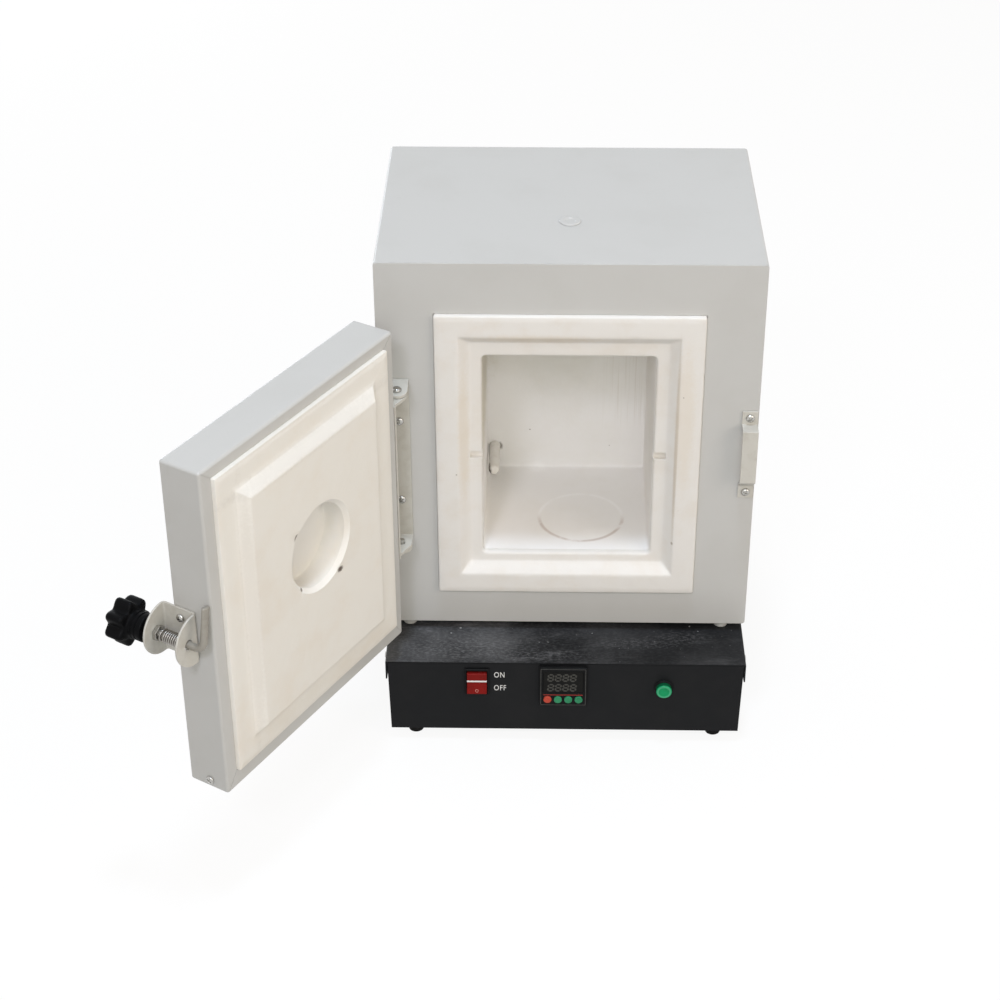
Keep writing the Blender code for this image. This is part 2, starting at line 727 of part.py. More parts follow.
def build_inside_base(tray):
    back = base_back + GAP
    x, z = -INLET_LEFT, BASE_FOOT_HEIGHT + BASE_HEIGHT / 2
    inlet = box(
        "mains_inlet",
        (x - INLET_FLANGE_WIDTH / 2, back, z - INLET_FLANGE_HEIGHT / 2),
        (x + INLET_FLANGE_WIDTH / 2, back + INLET_FLANGE, z + INLET_FLANGE_HEIGHT / 2),
        furnace,
        "black_plastic",
    )
    shell = box(
        "mains_inlet_shell",
        (x - INLET_WIDTH / 2, back - INLET_BACK, z - INLET_HEIGHT / 2),
        (x + INLET_WIDTH / 2, back + SUNK, z + INLET_HEIGHT / 2),
        furnace,
    )
    join(inlet, shell)
    socket = box(
        "mains_inlet_socket",
        (
            x - INLET_WIDTH / 2 + INLET_WALL,
            back - INLET_BACK + INLET_FLOOR,
            z - INLET_HEIGHT / 2 + INLET_WALL,
        ),
        (
            x + INLET_WIDTH / 2 - INLET_WALL,
            back + INLET_FLANGE + SUNK,
            z + INLET_HEIGHT / 2 - INLET_WALL,
        ),
        furnace,
    )
    cut(inlet, socket)
    opening = box(
        "mains_inlet_opening",
        (x - INLET_WIDTH / 2 - SLIP, back - SHEET - SUNK, z - INLET_HEIGHT / 2 - SLIP),
        (x + INLET_WIDTH / 2 + SLIP, back + SUNK, z + INLET_HEIGHT / 2 + SLIP),
        furnace,
    )
    cut(tray, opening)

    floor = BASE_FOOT_HEIGHT + SHEET + GAP
    sink_back = base_back - HEATSINK_FROM_BACK
    sink_front = sink_back - HEATSINK_DEPTH
    plate_z = floor + HEATSINK_FIN_HEIGHT
    sink_left = HEATSINK_RIGHT - HEATSINK_WIDTH / 2
    sink = box(
        "relay_heatsink",
        (sink_left, sink_front, plate_z),
        (sink_left + HEATSINK_WIDTH, sink_back, plate_z + HEATSINK_PLATE),
        furnace,
        "aluminium",
    )
    for i in range(HEATSINK_FINS):
        fin_x = sink_left + i * (HEATSINK_WIDTH - HEATSINK_FIN) / (HEATSINK_FINS - 1)
        fin = box(
            f"relay_heatsink_fin_{i + 1}",
            (fin_x, sink_front, floor),
            (fin_x + HEATSINK_FIN, sink_back, plate_z + SUNK),
            furnace,
        )
        join(sink, fin)
    relay_z = plate_z + HEATSINK_PLATE + GAP
    relay_y = (sink_front + sink_back) / 2
    relay = box(
        "solid_state_relay",
        (HEATSINK_RIGHT - RELAY_WIDTH / 2, relay_y - RELAY_DEPTH / 2, relay_z),
        (HEATSINK_RIGHT + RELAY_WIDTH / 2, relay_y + RELAY_DEPTH / 2, relay_z + RELAY_HEIGHT),
        furnace,
        "relay_plastic",
    )
    soften(relay, RELAY_EDGE, 1)
    block_y = base_back - TERMINAL_FROM_BACK
    box(
        "terminal_block",
        (x - TERMINAL_WIDTH / 2, block_y - TERMINAL_DEPTH / 2, floor),
        (x + TERMINAL_WIDTH / 2, block_y + TERMINAL_DEPTH / 2, floor + TERMINAL_HEIGHT),
        furnace,
        "relay_plastic",
    )


def build_casing():
    half, top = casing_width / 2, casing_height
    section = [
        (-half, 0),
        *arc((-half + BEND, top - BEND), BEND, 180, 90, 4),
        *arc((half - BEND, top - BEND), BEND, 90, 0, 4),
        (half, 0),
        (half - SHEET, 0),
        *arc((half - BEND, top - BEND), BEND - SHEET, 0, 90, 3),
        *arc((-half + BEND, top - BEND), BEND - SHEET, 90, 180, 3),
        (-half + SHEET, 0),
    ]
    wrap_front, wrap_back = SHEET + GAP, casing_depth - SHEET - GAP
    middle = (0, (wrap_front + wrap_back) / 2, casing_bottom)
    wrap = plate("casing_wrap", section, wrap_back - wrap_front, "Y", middle, furnace, "grey_paint")

    outline = rounded_rectangle(casing_width, casing_height, BEND)
    middle_z = casing_bottom + casing_height / 2
    front = plate("front_panel", outline, SHEET, "Y", (0, SHEET / 2, middle_z), furnace, "grey_paint")
    back_y = casing_depth - SHEET / 2
    back = plate("back_panel", outline, SHEET, "Y", (0, back_y, middle_z), furnace, "grey_paint")
    opening = box(
        "front_panel_opening",
        (-frame_width / 2 - GAP, -SUNK, frame_z - frame_height / 2 - GAP),
        (frame_width / 2 + GAP, SHEET + SUNK, frame_z + frame_height / 2 + GAP),
        furnace,
    )
    cut(front, opening)
    box(
        "bottom_plate",
        (-inside_x, wrap_front, casing_bottom),
        (inside_x, wrap_back, casing_bottom + SHEET),
        furnace,
        "grey_paint",
    )

    pad = [
        (0, STANDOFF_HEIGHT - GAP),
        (STANDOFF_RADIUS, STANDOFF_HEIGHT - GAP),
        (STANDOFF_RADIUS, GAP),
        (0, GAP),
    ]
    pad_x = casing_width / 2 - STANDOFF_INSET
    for row, y in (("front", STANDOFF_BACK), ("rear", casing_depth - STANDOFF_BACK)):
        for side, x in (("left", -pad_x), ("right", pad_x)):
            name = f"standoff_{row}_{side}"
            turned(name, pad, (x, y, base_top), (0, 0, 1), furnace, "grey_rubber")

    stem_top = casing_top + GAP
    vent = [
        (0, VENT_CAP - VENT_DISH),
        (VENT_DISH_RADIUS - VENT_DISH, VENT_CAP - VENT_DISH),
        (VENT_DISH_RADIUS, VENT_CAP),
        (VENT_RADIUS - VENT_CAP, VENT_CAP),
        (VENT_RADIUS, 0),
        (VENT_STEM_RADIUS, 0),
        (VENT_STEM_RADIUS, -VENT_STEM),
        (0, -VENT_STEM),
    ]
    turned("vent_plug", vent, (0, VENT_BACK, stem_top), (0, 0, 1), furnace, "grey_paint", steps=20)
    return wrap, front, back


def build_lining(wrap, back):
    frame = box(
        "front_frame",
        (-frame_width / 2, -FRAME_PROUD, frame_z - frame_height / 2),
        (frame_width / 2, boards_y - GAP, frame_z + frame_height / 2),
        furnace,
        "white_fibre",
    )
    soften(frame, FIBRE_EDGE, 1)
    mouth = box(
        "front_frame_mouth",
        (-CHAMBER_WIDTH / 2, -FRAME_PROUD - SUNK, chamber_floor_z),
        (CHAMBER_WIDTH / 2, boards_y + SUNK, chamber_roof_z),
        furnace,
    )
    rebate = box(
        "front_frame_rebate",
        (-rebate_width / 2 - SUNK, -FRAME_PROUD - SUNK, frame_z - rebate_height / 2 - SUNK),
        (rebate_width / 2 + SUNK, step_y, frame_z + rebate_height / 2 + SUNK),
        furnace,
        narrow=(1, 1, (REBATE_DEPTH + SUNK, 0, REBATE_DEPTH + SUNK)),
    )
    notches = box(
        "front_frame_notches",
        (-CHAMBER_WIDTH / 2 - STEP_WIDTH, step_y - SUNK, frame_z - NOTCH_HEIGHT / 2),
        (CHAMBER_WIDTH / 2 + STEP_WIDTH, step_y + NOTCH_DEPTH, frame_z + NOTCH_HEIGHT / 2),
        furnace,
    )
    for cutter in (mouth, rebate, notches):
        cut(frame, cutter)

    low = casing_bottom + SHEET + GAP
    high = casing_top - SHEET - GAP
    back_y = casing_depth - SHEET - GAP
    floor_z, roof_z = chamber_floor_z, chamber_roof_z
    chamber_x = CHAMBER_WIDTH / 2
    hull = BEND - SHEET
    box(
        "chamber_floor",
        (-chamber_x + GAP, boards_y, low),
        (chamber_x - GAP, chamber_back_y - GAP, floor_z),
        furnace,
        "white_fibre",
    )
    roof = box(
        "chamber_roof",
        (-inside_x, boards_y, roof_z),
        (inside_x, chamber_back_y - GAP, high),
        furnace,
        "white_fibre",
    )
    soften(roof, hull, 1)
    walls = {}
    for side, sign in (("left", -1), ("right", 1)):
        near, far = sorted((sign * chamber_x, sign * inside_x))
        walls[sign] = box(
            f"chamber_{side}_wall",
            (near, boards_y, low),
            (far, chamber_back_y - GAP, roof_z - GAP),
            furnace,
            "white_fibre",
        )
    end = box(
        "chamber_back_wall",
        (-inside_x, chamber_back_y, low),
        (inside_x, back_y, high),
        furnace,
        "white_fibre",
    )
    soften(end, hull, 1)
    build_heaters(walls)

    x, z = -chamber_x + SENSOR_FROM_WALL, floor_z + SENSOR_ABOVE_FLOOR
    tip = chamber_back_y - SENSOR_REACH
    length = casing_depth + GAP - tip
    sensor = [
        (0, SENSOR_CAP_DEPTH),
        (SENSOR_CAP_RADIUS, SENSOR_CAP_DEPTH),
        (SENSOR_CAP_RADIUS, 0),
        (SENSOR_RADIUS, 0),
        (SENSOR_RADIUS, -length + SENSOR_RADIUS / 2),
        (SENSOR_RADIUS / 2, -length),
        (0, -length),
    ]
    seat = (x, casing_depth + GAP, z)
    turned("thermocouple", sensor, seat, (0, 1, 0), furnace, "sensor_ceramic", steps=16)
    drill(
        [end, back],
        SENSOR_RADIUS + SLIP,
        (x, chamber_back_y - SUNK, z),
        (x, casing_depth + SUNK, z),
    )
    drill(
        [wrap, roof],
        VENT_STEM_RADIUS + SLIP,
        (0, VENT_BACK, casing_top - VENT_STEM - GAP),
        (0, VENT_BACK, casing_top + SUNK),
        sides=20,
    )


def build_heaters(walls):
    """A wire bent to and fro in a slot behind each side wall's hot face."""
    low = chamber_floor_z + HEATER_MARGIN
    high = chamber_roof_z - HEATER_MARGIN
    front = boards_y + HEATER_MARGIN
    back = chamber_back_y - HEATER_MARGIN
    rows = int((high - low) / HEATER_PITCH) + 1
    bend = HEATER_PITCH / 2
    for sign, wall in walls.items():
        x = sign * (CHAMBER_WIDTH / 2 + HEATER_DEPTH_IN_WALL)
        slot = box(
            f"{wall.name}_slot",
            (x - HEATER_SLOT / 2, boards_y - SUNK, low - HEATER_PITCH / 2),
            (x + HEATER_SLOT / 2, back + HEATER_PITCH / 2, high + HEATER_PITCH / 2),
            furnace,
        )
        cut(wall, slot)
        run = [(front - bend, low)]
        for row in range(rows):
            z = low + row * HEATER_PITCH
            if row % 2 == 0:
                ends = arc((back - bend, z + bend), bend, -90, 90, 4)
            else:
                turn = arc((front + bend, z + bend), bend, -90, 90, 4)
                ends = [(2 * (front + bend) - y, height) for y, height in turn]
            run += ends if row < rows - 1 else [(back if row % 2 == 0 else front, z)]
        points = [(0, y, z) for y, z in run]
        side = "left" if sign < 0 else "right"
        tube(f"heater_{side}", points, HEATER_WIRE, 1, (x, 0, 0), furnace, "heating_wire")


def build_keeper(front):
    outer, inner = -keeper_height, -keeper_height + KEEPER_SHEET
    seat = -GAP
    top, bottom = KEEPER_ABOVE, -KEEPER_BELOW
    foot = bottom - KEEPER_SLANT
    flange_top, flange_bottom = top + KEEPER_FLANGE, foot - KEEPER_FLANGE
    outline = [
        (seat, flange_top),
        (seat - KEEPER_SHEET, flange_top),
        (seat - KEEPER_SHEET, top),
        (outer, top),
        (outer, bottom),
        (seat - KEEPER_SHEET, foot),
        (seat - KEEPER_SHEET, flange_bottom),
        (seat, flange_bottom),
        (seat, foot + KEEPER_SHEET),
        (inner, bottom + KEEPER_SHEET),
        (inner, top - KEEPER_SHEET),
        (seat, top - KEEPER_SHEET),
    ]
    middle = (keeper_x, 0, rod_z)
    strap = plate("keeper_strap", outline, KEEPER_WIDTH, "X", middle, furnace, "bracket_paint")
    face = seat - KEEPER_SHEET
    for end, z in (("upper", top + KEEPER_FLANGE / 2), ("lower", foot - KEEPER_FLANGE / 2)):
        place = (keeper_x, face, rod_z + z)
        pan_head_screw(f"keeper_screw_{end}", place, (0, -1, 0), furnace, [strap, front])


def build_hinge(front, tray, plug):
    """A bracket on the front panel and one on the door's edge, with a pin through each pair of ears."""
    low, high = pad_z - HINGE_HEIGHT / 2, pad_z + HINGE_HEIGHT / 2
    bracket = box(
        "hinge_body_bracket",
        (hinge_x - HINGE_PLATE_WIDTH / 2, -HINGE_SHEET - GAP, low),
        (hinge_x + HINGE_PLATE_WIDTH / 2, -GAP, high),
        furnace,
        "bracket_paint",
    )
    reach = HINGE_STANDOFF + HINGE_EAR_RADIUS
    body_ear = [(u, -v) for u, v in round_ended(reach - GAP, HINGE_EAR_RADIUS)]
    leaf = box(
        "hinge_door_bracket",
        (
            near_x - GAP - HINGE_LEAF_SHEET,
            -HINGE_LEAF_WIDTH / 2,
            low + HINGE_SHEET + HINGE_CLEARANCE,
        ),
        (near_x - GAP, HINGE_LEAF_WIDTH / 2, high - HINGE_SHEET - HINGE_CLEARANCE),
        door,
        "bracket_paint",
    )
    leaf_reach = near_x - GAP + HINGE_EAR_RADIUS
    tab = round_ended(leaf_reach, HINGE_EAR_RADIUS)
    leaf_ear = [(leaf_reach - HINGE_EAR_RADIUS - v, u) for u, v in tab]
    ends = (("upper", high - HINGE_SHEET / 2, 1), ("lower", low + HINGE_SHEET / 2, -1))
    for end, z, up in ends:
        name = f"hinge_body_ear_{end}"
        ear = plate(name, body_ear, HINGE_SHEET, "Z", (hinge_x, -GAP, z), furnace)
        join(bracket, ear)
        leaf_z = z - up * (HINGE_SHEET + HINGE_CLEARANCE)
        ear = plate(f"hinge_door_ear_{end}", leaf_ear, HINGE_SHEET, "Z", (0, 0, leaf_z), door)
        join(leaf, ear)

        head = z + up * (HINGE_SHEET / 2 + GAP)
        tail = -(2 * HINGE_SHEET + HINGE_CLEARANCE + PIN_TAIL)
        pin = [
            (0, PIN_HEAD),
            (PIN_HEAD_RADIUS - PIN_EDGE, PIN_HEAD),
            (PIN_HEAD_RADIUS, PIN_HEAD - PIN_EDGE),
            (PIN_HEAD_RADIUS, 0),
            (PIN_RADIUS, 0),
            (PIN_RADIUS, tail),
            (0, tail),
        ]
        seat = (hinge_x, -HINGE_STANDOFF, head)
        turned(f"hinge_pin_{end}", pin, seat, (0, 0, up), furnace, "bright_steel")
    for target, x, y in ((bracket, hinge_x, -HINGE_STANDOFF), (leaf, 0, 0)):
        drill([target], PIN_RADIUS + SLIP, (x, y, low - SUNK), (x, y, high + SUNK))
    for end, up in (("upper", 1), ("lower", -1)):
        z = pad_z + up * HINGE_SCREW_SPACING / 2
        seat = (hinge_x, -GAP - HINGE_SHEET, z)
        pan_head_screw(f"hinge_body_screw_{end}", seat, (0, -1, 0), furnace, [bracket, front])
        seat = (near_x - GAP - HINGE_LEAF_SHEET, 0, z)
        pan_head_screw(f"hinge_door_screw_{end}", seat, (-1, 0, 0), door, [leaf, tray, plug])


def build_door():
    tray = box(
        "door_tray",
        (near_x, door_face_y, door_bottom),
        (far_x, lip_y, door_top),
        door,
        "grey_paint",
    )
    soften(tray, DOOR_BEND)
    low = Vector((near_x, door_face_y, door_bottom)) + Vector((SHEET, SHEET, SHEET))
    high = Vector((far_x, lip_y, door_top)) - Vector((SHEET, SHEET, SHEET))
    cut(tray, box("door_tray_inside", low, high, door))
    half_x, half_z = pad_width / 2, pad_height / 2
    window = box(
        "door_tray_window",
        (door_x - half_x - GAP, lip_y - SHEET - SUNK, pad_z - half_z - GAP),
        (door_x + half_x + GAP, lip_y + SUNK, pad_z + half_z + GAP),
        door,
    )
    cut(tray, window)

    gap = Vector((GAP, GAP, GAP))
    plug = box("door_plug", low + gap, high - gap, door, "cream_fibre")
    pad_face = lip_y + PAD_PROUD
    pad = box(
        "door_plug_pad",
        (door_x - half_x, lip_y - SHEET - SUNK, pad_z - half_z),
        (door_x + half_x, pad_face, pad_z + half_z),
        door,
    )
    soften(pad, FIBRE_EDGE, 1)
    raised_x = rebate_width / 2 - PLUG_CLEARANCE + SUNK
    raised_z = rebate_height / 2 - PLUG_CLEARANCE + SUNK
    raised = box(
        "door_plug_raised",
        (door_x - raised_x, pad_face - SUNK, pad_z - raised_z),
        (door_x + raised_x, pad_face + PLUG_HEIGHT, pad_z + raised_z),
        door,
        narrow=(1, 1, (PLUG_HEIGHT + SUNK, 0, PLUG_HEIGHT + SUNK)),
    )
    join(plug, pad)
    join(plug, raised)
    mouth = pad_face + PLUG_HEIGHT
    recess_z = pad_z + RECESS_RISE
    pocket = [
        (0, SUNK),
        (RECESS_RADIUS + RECESS_CHAMFER + SUNK, SUNK),
        (RECESS_RADIUS, -RECESS_CHAMFER),
        (RECESS_RADIUS, -RECESS_DEPTH),
        (0, -RECESS_DEPTH),
    ]
    place = (door_x, mouth, recess_z)
    cut(plug, turned("door_plug_recess", pocket, place, (0, 1, 0), door, None, steps=40))
    seat = (far_x, lip_y - EDGE_SCREW_BACK, door_bottom + EDGE_SCREW_RISE)
    pan_head_screw("door_edge_screw", seat, (1, 0, 0), door, [tray, plug])
    return tray, plug


def build_latch(tray, plug):
    web_x = far_x + GAP
    rod = Vector((far_x + LATCH_OFFSET, 0, rod_z))
    reach = BRACKET_REACH + SUNK
    bent_sheet = [
        (0, 0),
        (reach, 0),
        (reach, BRACKET_SHEET),
        (BRACKET_SHEET, BRACKET_SHEET),
        (BRACKET_SHEET, BRACKET_SPAN - BRACKET_SHEET),
        (reach, BRACKET_SPAN - BRACKET_SHEET),
        (reach, BRACKET_SPAN),
        (0, BRACKET_SPAN),
    ]
    height = BRACKET_HEIGHT + 2 * SUNK
    corner = (web_x, outer_ear_y, rod_z)
    bracket = plate("latch_bracket", bent_sheet, height, "Z", corner, door, "bracket_paint")
    ears = [(v, u) for u, v in round_ended(reach, BRACKET_HEIGHT / 2)]
    middle = (web_x - SUNK, (outer_ear_y + inner_ear_y) / 2, rod_z)
    rounding = plate("latch_bracket_ears", ears, BRACKET_SPAN + 2 * SUNK, "Y", middle, door)
    boolean(bracket, rounding, "INTERSECT")
    outside = (rod.x, outer_ear_y - SUNK, rod_z)
    drill([bracket], BRACKET_HOLE, outside, (rod.x, inner_ear_y + SUNK, rod_z))
    middle_y = (outer_ear_y + inner_ear_y) / 2 + BRACKET_SHEET
    for end, up in (("upper", 1), ("lower", -1)):
        seat = (web_x + BRACKET_SHEET, middle_y, rod_z + up * BRACKET_SCREW_SPACING / 2)
        pan_head_screw(f"latch_screw_{end}", seat, (1, 0, 0), door, [bracket, tray, plug])

    slide = empty("latch_slide", rod, door)
    nut_back = outer_ear_y + BRACKET_SHEET + GAP
    nut_front = nut_back + NUT_DEPTH
    nut = cylinder(
        "latch_nut",
        NUT_RADIUS,
        (0, nut_back, 0),
        (0, nut_front, 0),
        slide,
        "bright_steel",
        sides=6,
    )
    drill([nut], ROD_RADIUS + SLIP, (0, nut_back - SUNK, 0), (0, nut_front + SUNK, 0))

    turn = empty("latch_turn", (0, 0, 0), slide)
    turn.rotation_euler = (0, -HOOK_LEAN, 0)
    neck_front = outer_ear_y - PUSH_TRAVEL - KNOB_CLEARANCE
    head_front = neck_front - KNOB_NECK
    head_back = head_front - KNOB_HEAD
    rod_end = neck_front - KNOB_GRIP
    bend = [(hook_y - HOOK_BEND + y, z) for y, z in arc((0, HOOK_BEND), HOOK_BEND, -90, 0, 6)]
    points = [(0, rod_end, 0), *[(0, y, z) for y, z in bend], (0, hook_y, HOOK_LENGTH)]
    tube("latch_hook", points, ROD_RADIUS, 2, (0, 0, 0), turn, "hook_steel")

    steps = KNOB_LOBES * POINTS_A_LOBE
    star = []
    for i in range(steps):
        angle = 2 * math.pi * i / steps
        radius = KNOB_RADIUS - KNOB_SCALLOP * (1 - math.cos(KNOB_LOBES * angle)) / 2
        star.append((radius * math.cos(angle), radius * math.sin(angle)))
    middle = (0, (head_front + head_back) / 2, 0)
    knob = plate("latch_knob", star, KNOB_HEAD, "Y", middle, turn, "black_plastic")
    soften(knob, KNOB_EDGE, 1)
    neck = cylinder(
        "latch_knob_neck",
        KNOB_NECK_RADIUS,
        (0, head_front - SUNK, 0),
        (0, neck_front, 0),
        turn,
    )
    join(knob, neck)
    drill([knob], ROD_RADIUS + SLIP, (0, rod_end - GAP, 0), (0, neck_front + SUNK, 0))
    build_spring(slide, nut_front + GAP, inner_ear_y - BRACKET_SHEET - GAP)


def build_spring(slide, start, end):
    """A compression spring round the rod, each end straight along it where it meets a face."""
    straight = 2 * SPRING_WIRE
    count = SPRING_TURNS * POINTS_A_TURN
    rise = (end - start - 2 * straight) / count
    helix = []
    for i in range(count + 1):
        angle = 2 * math.pi * i / POINTS_A_TURN
        x, z = SPRING_RADIUS * math.cos(angle), SPRING_RADIUS * math.sin(angle)
        helix.append((x, start + straight + i * rise, z))
    points = [(SPRING_RADIUS, start, 0), *helix, (helix[-1][0], end, helix[-1][2])]
    tube("latch_spring", points, SPRING_WIRE, 1, (0, 0, 0), slide, "bright_steel")
    turn = np.array(helix[:POINTS_A_TURN])
    nexts = np.array(helix[POINTS_A_TURN - 2 : 2 * POINTS_A_TURN + 2])
    apart = np.linalg.norm(turn[:, None] - nexts[None], axis=2)
    turns_apart = apart[np.abs(turn[:, None, 1] - nexts[None, :, 1]) > rise * (POINTS_A_TURN - 2)]
    print(f"latch_spring least gap to itself: {(turns_apart.min() - 2 * SPRING_WIRE) * 1000:.2f} mm")


def stand_on_origin():
    """Moves the furnace so that the middle of the whole object's underside is at the origin."""
    bpy.context.view_layer.update()
    graph = bpy.context.evaluated_depsgraph_get()
    corners = []
    for obj in parts.objects:
        if obj.type == "MESH":
            solid = obj.evaluated_get(graph)
            corners += [solid.matrix_world @ vertex.co for vertex in solid.data.vertices]
    low, high = np.min(corners, axis=0), np.max(corners, axis=0)
    furnace.location = (-(low[0] + high[0]) / 2, -(low[1] + high[1]) / 2, -low[2])


clear_scene()
parts = new_collection("muffle_furnace")
cutters = new_collection("cutters")
furnace = empty("furnace", (0, 0, 0))
door = empty("door_hinge", (hinge_x, -HINGE_STANDOFF, 0), furnace, turn=-DOOR_OPEN)

base_tray = build_base()
build_rocker(base_tray)
build_controller(base_tray)
build_lamp(base_tray)
build_inside_base(base_tray)
casing_wrap, front_panel, back_panel = build_casing()
build_lining(casing_wrap, back_panel)
build_keeper(front_panel)
door_tray, door_plug = build_door()
build_hinge(front_panel, door_tray, door_plug)
build_latch(door_tray, door_plug)
stand_on_origin()
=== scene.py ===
import json
import math

import bmesh
import bpy
from mathutils import Matrix, Vector, noise


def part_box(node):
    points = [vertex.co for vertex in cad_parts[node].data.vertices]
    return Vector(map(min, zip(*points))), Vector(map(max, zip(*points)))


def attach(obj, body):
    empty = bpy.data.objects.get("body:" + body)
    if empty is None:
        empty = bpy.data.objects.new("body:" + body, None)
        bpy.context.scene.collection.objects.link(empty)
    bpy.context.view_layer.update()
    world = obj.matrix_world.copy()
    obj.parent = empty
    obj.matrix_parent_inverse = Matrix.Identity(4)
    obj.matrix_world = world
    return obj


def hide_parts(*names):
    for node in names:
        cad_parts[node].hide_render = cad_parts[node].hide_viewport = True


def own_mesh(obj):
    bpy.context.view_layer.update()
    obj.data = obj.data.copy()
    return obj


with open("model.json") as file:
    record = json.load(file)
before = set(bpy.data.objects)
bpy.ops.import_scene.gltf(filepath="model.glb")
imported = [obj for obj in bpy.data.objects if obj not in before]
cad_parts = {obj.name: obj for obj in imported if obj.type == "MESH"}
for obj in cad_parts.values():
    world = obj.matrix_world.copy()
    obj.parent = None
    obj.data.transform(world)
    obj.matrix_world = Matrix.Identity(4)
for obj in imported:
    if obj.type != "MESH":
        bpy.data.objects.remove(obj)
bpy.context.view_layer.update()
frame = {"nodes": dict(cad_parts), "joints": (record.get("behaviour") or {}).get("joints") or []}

scene = bpy.context.scene
nodes = frame["nodes"]
joints = {joint["name"]: joint for joint in frame["joints"]}
mm = 0.001
print(f"frame loaded, {len(nodes)} nodes")

# where the furnace, its door and the moving pieces stand; pieces are drawn in mm in these frames
panelLow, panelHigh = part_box("front_panel")
furnacePlace = Matrix.Translation(((panelLow.x + panelHigh.x) / 2, panelLow.y, 0))
swing = joints["door_swing"]
doorTurn = Matrix.Rotation(-math.radians(swing["range_deg"][1]), 4, "Z")
doorPlace = Matrix.Translation((*swing["pos_m"][:2], 0)) @ doorTurn
rodSpot = doorPlace.inverted() @ Vector(joints["latch_turn"]["pos_m"])
slidePlace = doorPlace @ Matrix.Translation((rodSpot.x, 0, rodSpot.z))
hookLean = math.radians(joints["latch_turn"]["range_deg"][1] - 90)
boltPlace = slidePlace @ Matrix.Rotation(-hookLean, 4, "Y")
tilt = joints["rocker_tilt"]
rockerTurn = Matrix.Rotation(-math.radians(tilt["range_deg"][1]) / 2, 4, "X")
rockerPlace = Matrix.Translation(tilt["pos_m"]) @ rockerTurn


def boxIn(place, node):  # a node's corners in mm in that frame
    back = place.inverted()
    spots = [back @ vert.co for vert in nodes[node].data.vertices]
    low = Vector([min(spot[i] for spot in spots) for i in range(3)])
    high = Vector([max(spot[i] for spot in spots) for i in range(3)])
    return low / mm, high / mm


# node trees: sums are written as sums, any other node comes from node()
class Wire:
    def __init__(self, tree, socket=None):
        self.tree, self.socket = tree, socket

    def node(self, kind, settings=None, sockets=None, out=0):
        made = self.tree.nodes.new(kind)
        for key, value in (settings or {}).items():
            if key == "stops":
                setStops(made, value)
            else:
                setattr(made, key, value)
        for key, value in (sockets or {}).items():
            entries = value if isinstance(value, list) else [value]
            for entry in entries:
                if isinstance(entry, Wire):
                    self.tree.links.new(entry.socket, made.inputs[key])
                else:
                    made.inputs[key].default_value = entry
        return Wire(self.tree, made.outputs[out]) if len(made.outputs) else made

    def maths(self, operation, first, second=0.0):
        return self.node("ShaderNodeMath", {"operation": operation}, {0: first, 1: second})

    def __add__(self, other):
        return self.maths("ADD", self, other)

    def __sub__(self, other):
        return self.maths("SUBTRACT", self, other)

    def __rsub__(self, other):
        return self.maths("SUBTRACT", other, self)

    def __mul__(self, other):
        return self.maths("MULTIPLY", self, other)

    def __truediv__(self, other):
        return self.maths("DIVIDE", self, other)

    def __gt__(self, other):
        return self.maths("GREATER_THAN", self, other)

    def __lt__(self, other):
        return self.maths("LESS_THAN", self, other)

    __radd__ = __add__
    __rmul__ = __mul__


def setStops(made, stops):
    if made.bl_idname == "ShaderNodeFloatCurve":
        line = made.mapping.curves[0]
        for i, (at, value) in enumerate(stops):
            point = line.points[i] if i < 2 else line.points.new(at, value)
            point.location = (at, value)
        for point in line.points:
            point.handle_type = "VECTOR"
        made.mapping.update()
        return
    ramp = made.color_ramp.elements
    for i, (at, shade) in enumerate(stops):
        stop = ramp[i] if i < 2 else ramp.new(at)
        stop.position, stop.color = at, (*shade, 1)


def newFinish(name, **fixed):  # fixed values go straight on the shader's sockets
    made = bpy.data.materials.new(name)
    made.use_nodes = True
    shader = made.node_tree.nodes["Principled BSDF"]
    labels = {"colour": "Base Color", "roughness": "Roughness", "metallic": "Metallic"}
    labels |= {"coat": "Coat Weight", "coatRoughness": "Coat Roughness"}
    labels |= {"specular": "Specular IOR Level", "emission": "Emission Strength"}
    for key, value in fixed.items():
        entry = shader.inputs[labels[key]]
        entry.default_value = (*value, 1) if key == "colour" else value
    spot = Wire(made.node_tree).node("ShaderNodeTexCoord", out="Object")
    return made, shader, spot


def feed(shader, label, wire):
    wire.tree.links.new(wire.socket, shader.inputs[label])


def seenIn(spot, place):  # the pattern's own frame, in mm
    turn = tuple(place.to_euler())
    sockets = {"Vector": spot, "Location": tuple(place.translation), "Rotation": turn}
    sockets["Scale"] = (mm, mm, mm)
    return spot.node("ShaderNodeMapping", {"vector_type": "TEXTURE"}, sockets)


def cloud(spot, size, detail=3.0, rough=0.5, out=0):  # noise with lumps of about that size in mm
    sockets = {"Vector": spot, "Scale": 1 / size, "Detail": detail, "Roughness": rough}
    return spot.node("ShaderNodeTexNoise", None, sockets, out)


def step(wire, low, high):  # 0 below low, 1 above high
    sockets = {"Value": wire, "From Min": low, "From Max": high}
    return wire.node("ShaderNodeMapRange", {"interpolation_type": "SMOOTHSTEP"}, sockets)


def tint(mask, first, second):  # first where the mask is 0, second where it is 1
    shades = [side if isinstance(side, Wire) else (*side, 1) for side in (first, second)]
    return mask.node("ShaderNodeMix", {"data_type": "RGBA"}, {0: mask, 6: shades[0], 7: shades[1]}, 2)


def bump(height, distance, strength=1.0):
    sockets = {"Height": height, "Distance": distance * mm, "Strength": strength}
    return height.node("ShaderNodeBump", None, sockets)


def part(spot, axis):  # one coordinate
    return spot.node("ShaderNodeSeparateXYZ", None, {0: spot}, axis)


def stretched(spot, scale):
    return spot.node("ShaderNodeVectorMath", {"operation": "MULTIPLY"}, {0: spot, 1: scale})


